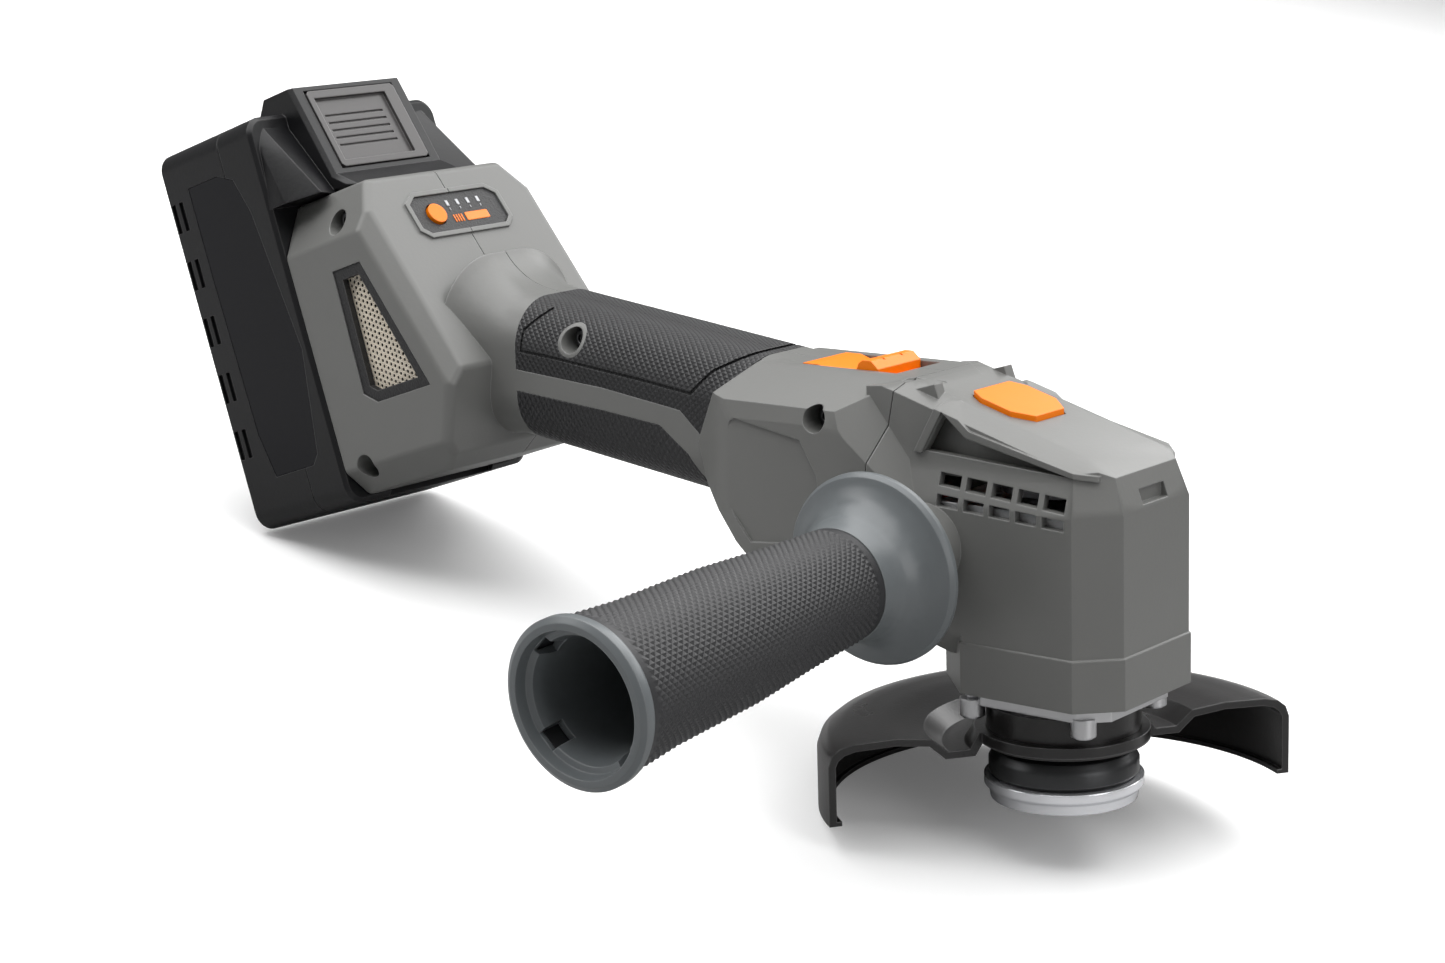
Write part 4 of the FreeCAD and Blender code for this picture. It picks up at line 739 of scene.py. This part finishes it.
class GRINDER_OT_spindle_thread(bpy.types.Operator):
    """Makes the last turn of the thread on the spindle's free end"""

    bl_idname = "grinder.spindle_thread"
    bl_label = "Spindle thread"

    def execute(self, context):
        bm = bmesh.new()
        profile = [bm.verts.new((r * MM, 0.0, (THREAD_LOW + z) * MM)) for r, z in THREAD_PROFILE]
        edges = [bm.edges.new(pair) for pair in zip(profile, profile[1:])]
        bmesh.ops.spin(
            bm, geom=[*profile, *edges], axis=(0, 0, 1), cent=(0, 0, 0), dvec=(0, 0, THREAD_RISE * MM / THREAD_STEPS),
            angle=math.tau, steps=THREAD_STEPS, use_merge=False)
        bmesh.ops.holes_fill(bm, edges=[e for e in bm.edges if e.is_boundary], sides=0)
        bmesh.ops.transform(bm, matrix=TOOL, verts=bm.verts)
        finish_mesh(bm, "spindle_thread", "dark_steel", "rotor")
        return {"FINISHED"}


# ---------------------------------------------------------------- stage
# the camera's axes and place in the tool's own axes
CAMERA_BACK = (0.62729, -0.75086, 0.20669)
CAMERA_RIGHT = (0.77119, 0.63587, -0.03054)
CAMERA_UP = (-0.10850, 0.17856, 0.97793)
CAMERA_PLACE = (0.397265, -0.611452, 0.233090)
CAMERA_LENS, SENSOR_WIDTH = 71.86, 36.0

# name, place from the middle of the tool, width and height, watts
LIGHTS = (
    ("overhead", (-0.15, 0.15, 1.1), (2.0, 1.8), 34.0),
    ("left key", (-0.85, -0.75, 0.80), (0.5, 0.9), 6.0),
    ("right fill", (1.1, -0.1, 0.45), (0.5, 0.8), 3.0),
    ("back strip", (0.1, 1.2, 0.6), (1.2, 0.4), 6.0),
)
BACKDROP_WHITE = 1.0                        # the world's strength where the camera sees it
SURROUND = 0.22                             # its strength for light and reflections
FLOOR_SEEN = (0.93, 0.93, 0.93, 1.0)
FLOOR_BOUNCE = (0.36, 0.36, 0.36, 1.0)      # what the object sees of the floor
FLOOR_GLOW = 0.10                           # keeps the shadows on the floor light
FLOOR_HALF, FLOOR_GAP = 6.0, 0.2 * MM       # half the floor's width, and how far it lies under the tool


def studio_world():
    """White where the camera looks past the floor, and a dimmer room for light and reflections."""
    world = bpy.data.worlds.new("Studio")
    world.use_nodes = True
    graph = Graph(world.node_tree)
    back = world.node_tree.nodes["Background"]
    seen = graph.add("ShaderNodeLightPath").outputs["Is Camera Ray"]
    graph.feed(back.inputs["Strength"], graph.math("MULTIPLY_ADD", seen, BACKDROP_WHITE - SURROUND, SURROUND))
    back.inputs["Color"].default_value = (1, 1, 1, 1)
    return world


def soft_light(name, place, aim, size, power):
    """A rectangular light that faces a point."""
    light = bpy.data.lights.new(name, "AREA")
    light.shape, light.size, light.size_y = "RECTANGLE", size[0], size[1]
    light.energy = power
    lamp = bpy.data.objects.new(name, light)
    lamp.location = place
    lamp.rotation_euler = (Vector(aim) - Vector(place)).to_track_quat("-Z", "Y").to_euler()
    bpy.context.scene.collection.objects.link(lamp)


def floor_cover():
    """A pale matt material that shows lighter to the camera than to the tool."""
    cover = bpy.data.materials.new("Pale floor")
    cover.use_nodes = True
    shader = cover.node_tree.nodes["Principled BSDF"]
    graph = Graph(cover.node_tree)
    seen = graph.add("ShaderNodeLightPath").outputs["Is Camera Ray"]
    graph.feed(shader.inputs["Base Color"], graph.mix(seen, FLOOR_BOUNCE, FLOOR_SEEN))
    graph.feed(shader.inputs["Emission Strength"], graph.math("MULTIPLY", seen, FLOOR_GLOW))
    shader.inputs["Emission Color"].default_value = (1.0, 1.0, 1.0, 1.0)
    shader.inputs["Roughness"].default_value = 0.9
    shader.inputs["Specular IOR Level"].default_value = 0.1
    return cover


def lay_floor(height):
    bm = bmesh.new()
    bmesh.ops.create_grid(bm, x_segments=1, y_segments=1, size=FLOOR_HALF)
    bmesh.ops.translate(bm, verts=bm.verts, vec=(0, 0, height))
    mesh = bpy.data.meshes.new("floor")
    bm.to_mesh(mesh)
    bm.free()
    mesh.materials.append(floor_cover())
    floor = bpy.data.objects.new("floor", mesh)
    bpy.context.scene.collection.objects.link(floor)


def place_camera():
    lens = bpy.data.cameras.new("camera")
    lens.sensor_width = SENSOR_WIDTH
    lens.lens = CAMERA_LENS
    lens.clip_start = 0.01
    camera = bpy.data.objects.new("camera", lens)
    bpy.context.scene.collection.objects.link(camera)
    camera.matrix_world = TOOL @ columns(CAMERA_RIGHT, CAMERA_UP, CAMERA_BACK, CAMERA_PLACE)
    return camera


class GRINDER_OT_stage(bpy.types.Operator):
    """Sets the floor, the lights and the camera"""

    bl_idname = "grinder.stage"
    bl_label = "Stage"

    def execute(self, context):
        scene = context.scene
        low, high = (Vector(c) for c in cad_box)
        centre = (low + high) / 2
        lay_floor(low.z - FLOOR_GAP)
        scene.world = studio_world()
        for name, offset, size, power in LIGHTS:
            soft_light(name, centre + Vector(offset), centre, size, power)
        scene.camera = place_camera()
        scene.view_settings.view_transform = "Standard"
        return {"FINISHED"}


class GRINDER_PT_panel(bpy.types.Panel):
    """The add-on's buttons and settings"""

    bl_label = "Angle grinder"
    bl_idname = "GRINDER_PT_panel"
    bl_space_type = "VIEW_3D"
    bl_region_type = "UI"
    bl_category = "Angle grinder"

    def draw(self, context):
        for step in STEPS:
            self.layout.operator(step.bl_idname)
        for name in GrinderSizes.__annotations__:
            self.layout.prop(context.scene.grinder_sizes, name)
        for name in GrinderColours.__annotations__:
            self.layout.prop(context.scene.grinder_colours, name)


STEPS = (
    GRINDER_OT_carried_parts, GRINDER_OT_vent_sheets, GRINDER_OT_panel_marks, GRINDER_OT_side_sleeve,
    GRINDER_OT_spindle_thread, GRINDER_OT_stage,
)
CLASSES = (GrinderSizes, GrinderColours, *STEPS, GRINDER_PT_panel)


def register():
    for cls in CLASSES:
        bpy.utils.register_class(cls)
    bpy.types.Scene.grinder_sizes = bpy.props.PointerProperty(type=GrinderSizes)
    bpy.types.Scene.grinder_colours = bpy.props.PointerProperty(type=GrinderColours)


def unregister():
    del bpy.types.Scene.grinder_sizes
    del bpy.types.Scene.grinder_colours
    for cls in reversed(CLASSES):
        bpy.utils.unregister_class(cls)


def main():
    register()
    build_finishes()
    for step in STEPS:
        operator = step.bl_idname.split(".")[1]
        getattr(bpy.ops.grinder, operator)()


if __name__ == "__main__":
    main()
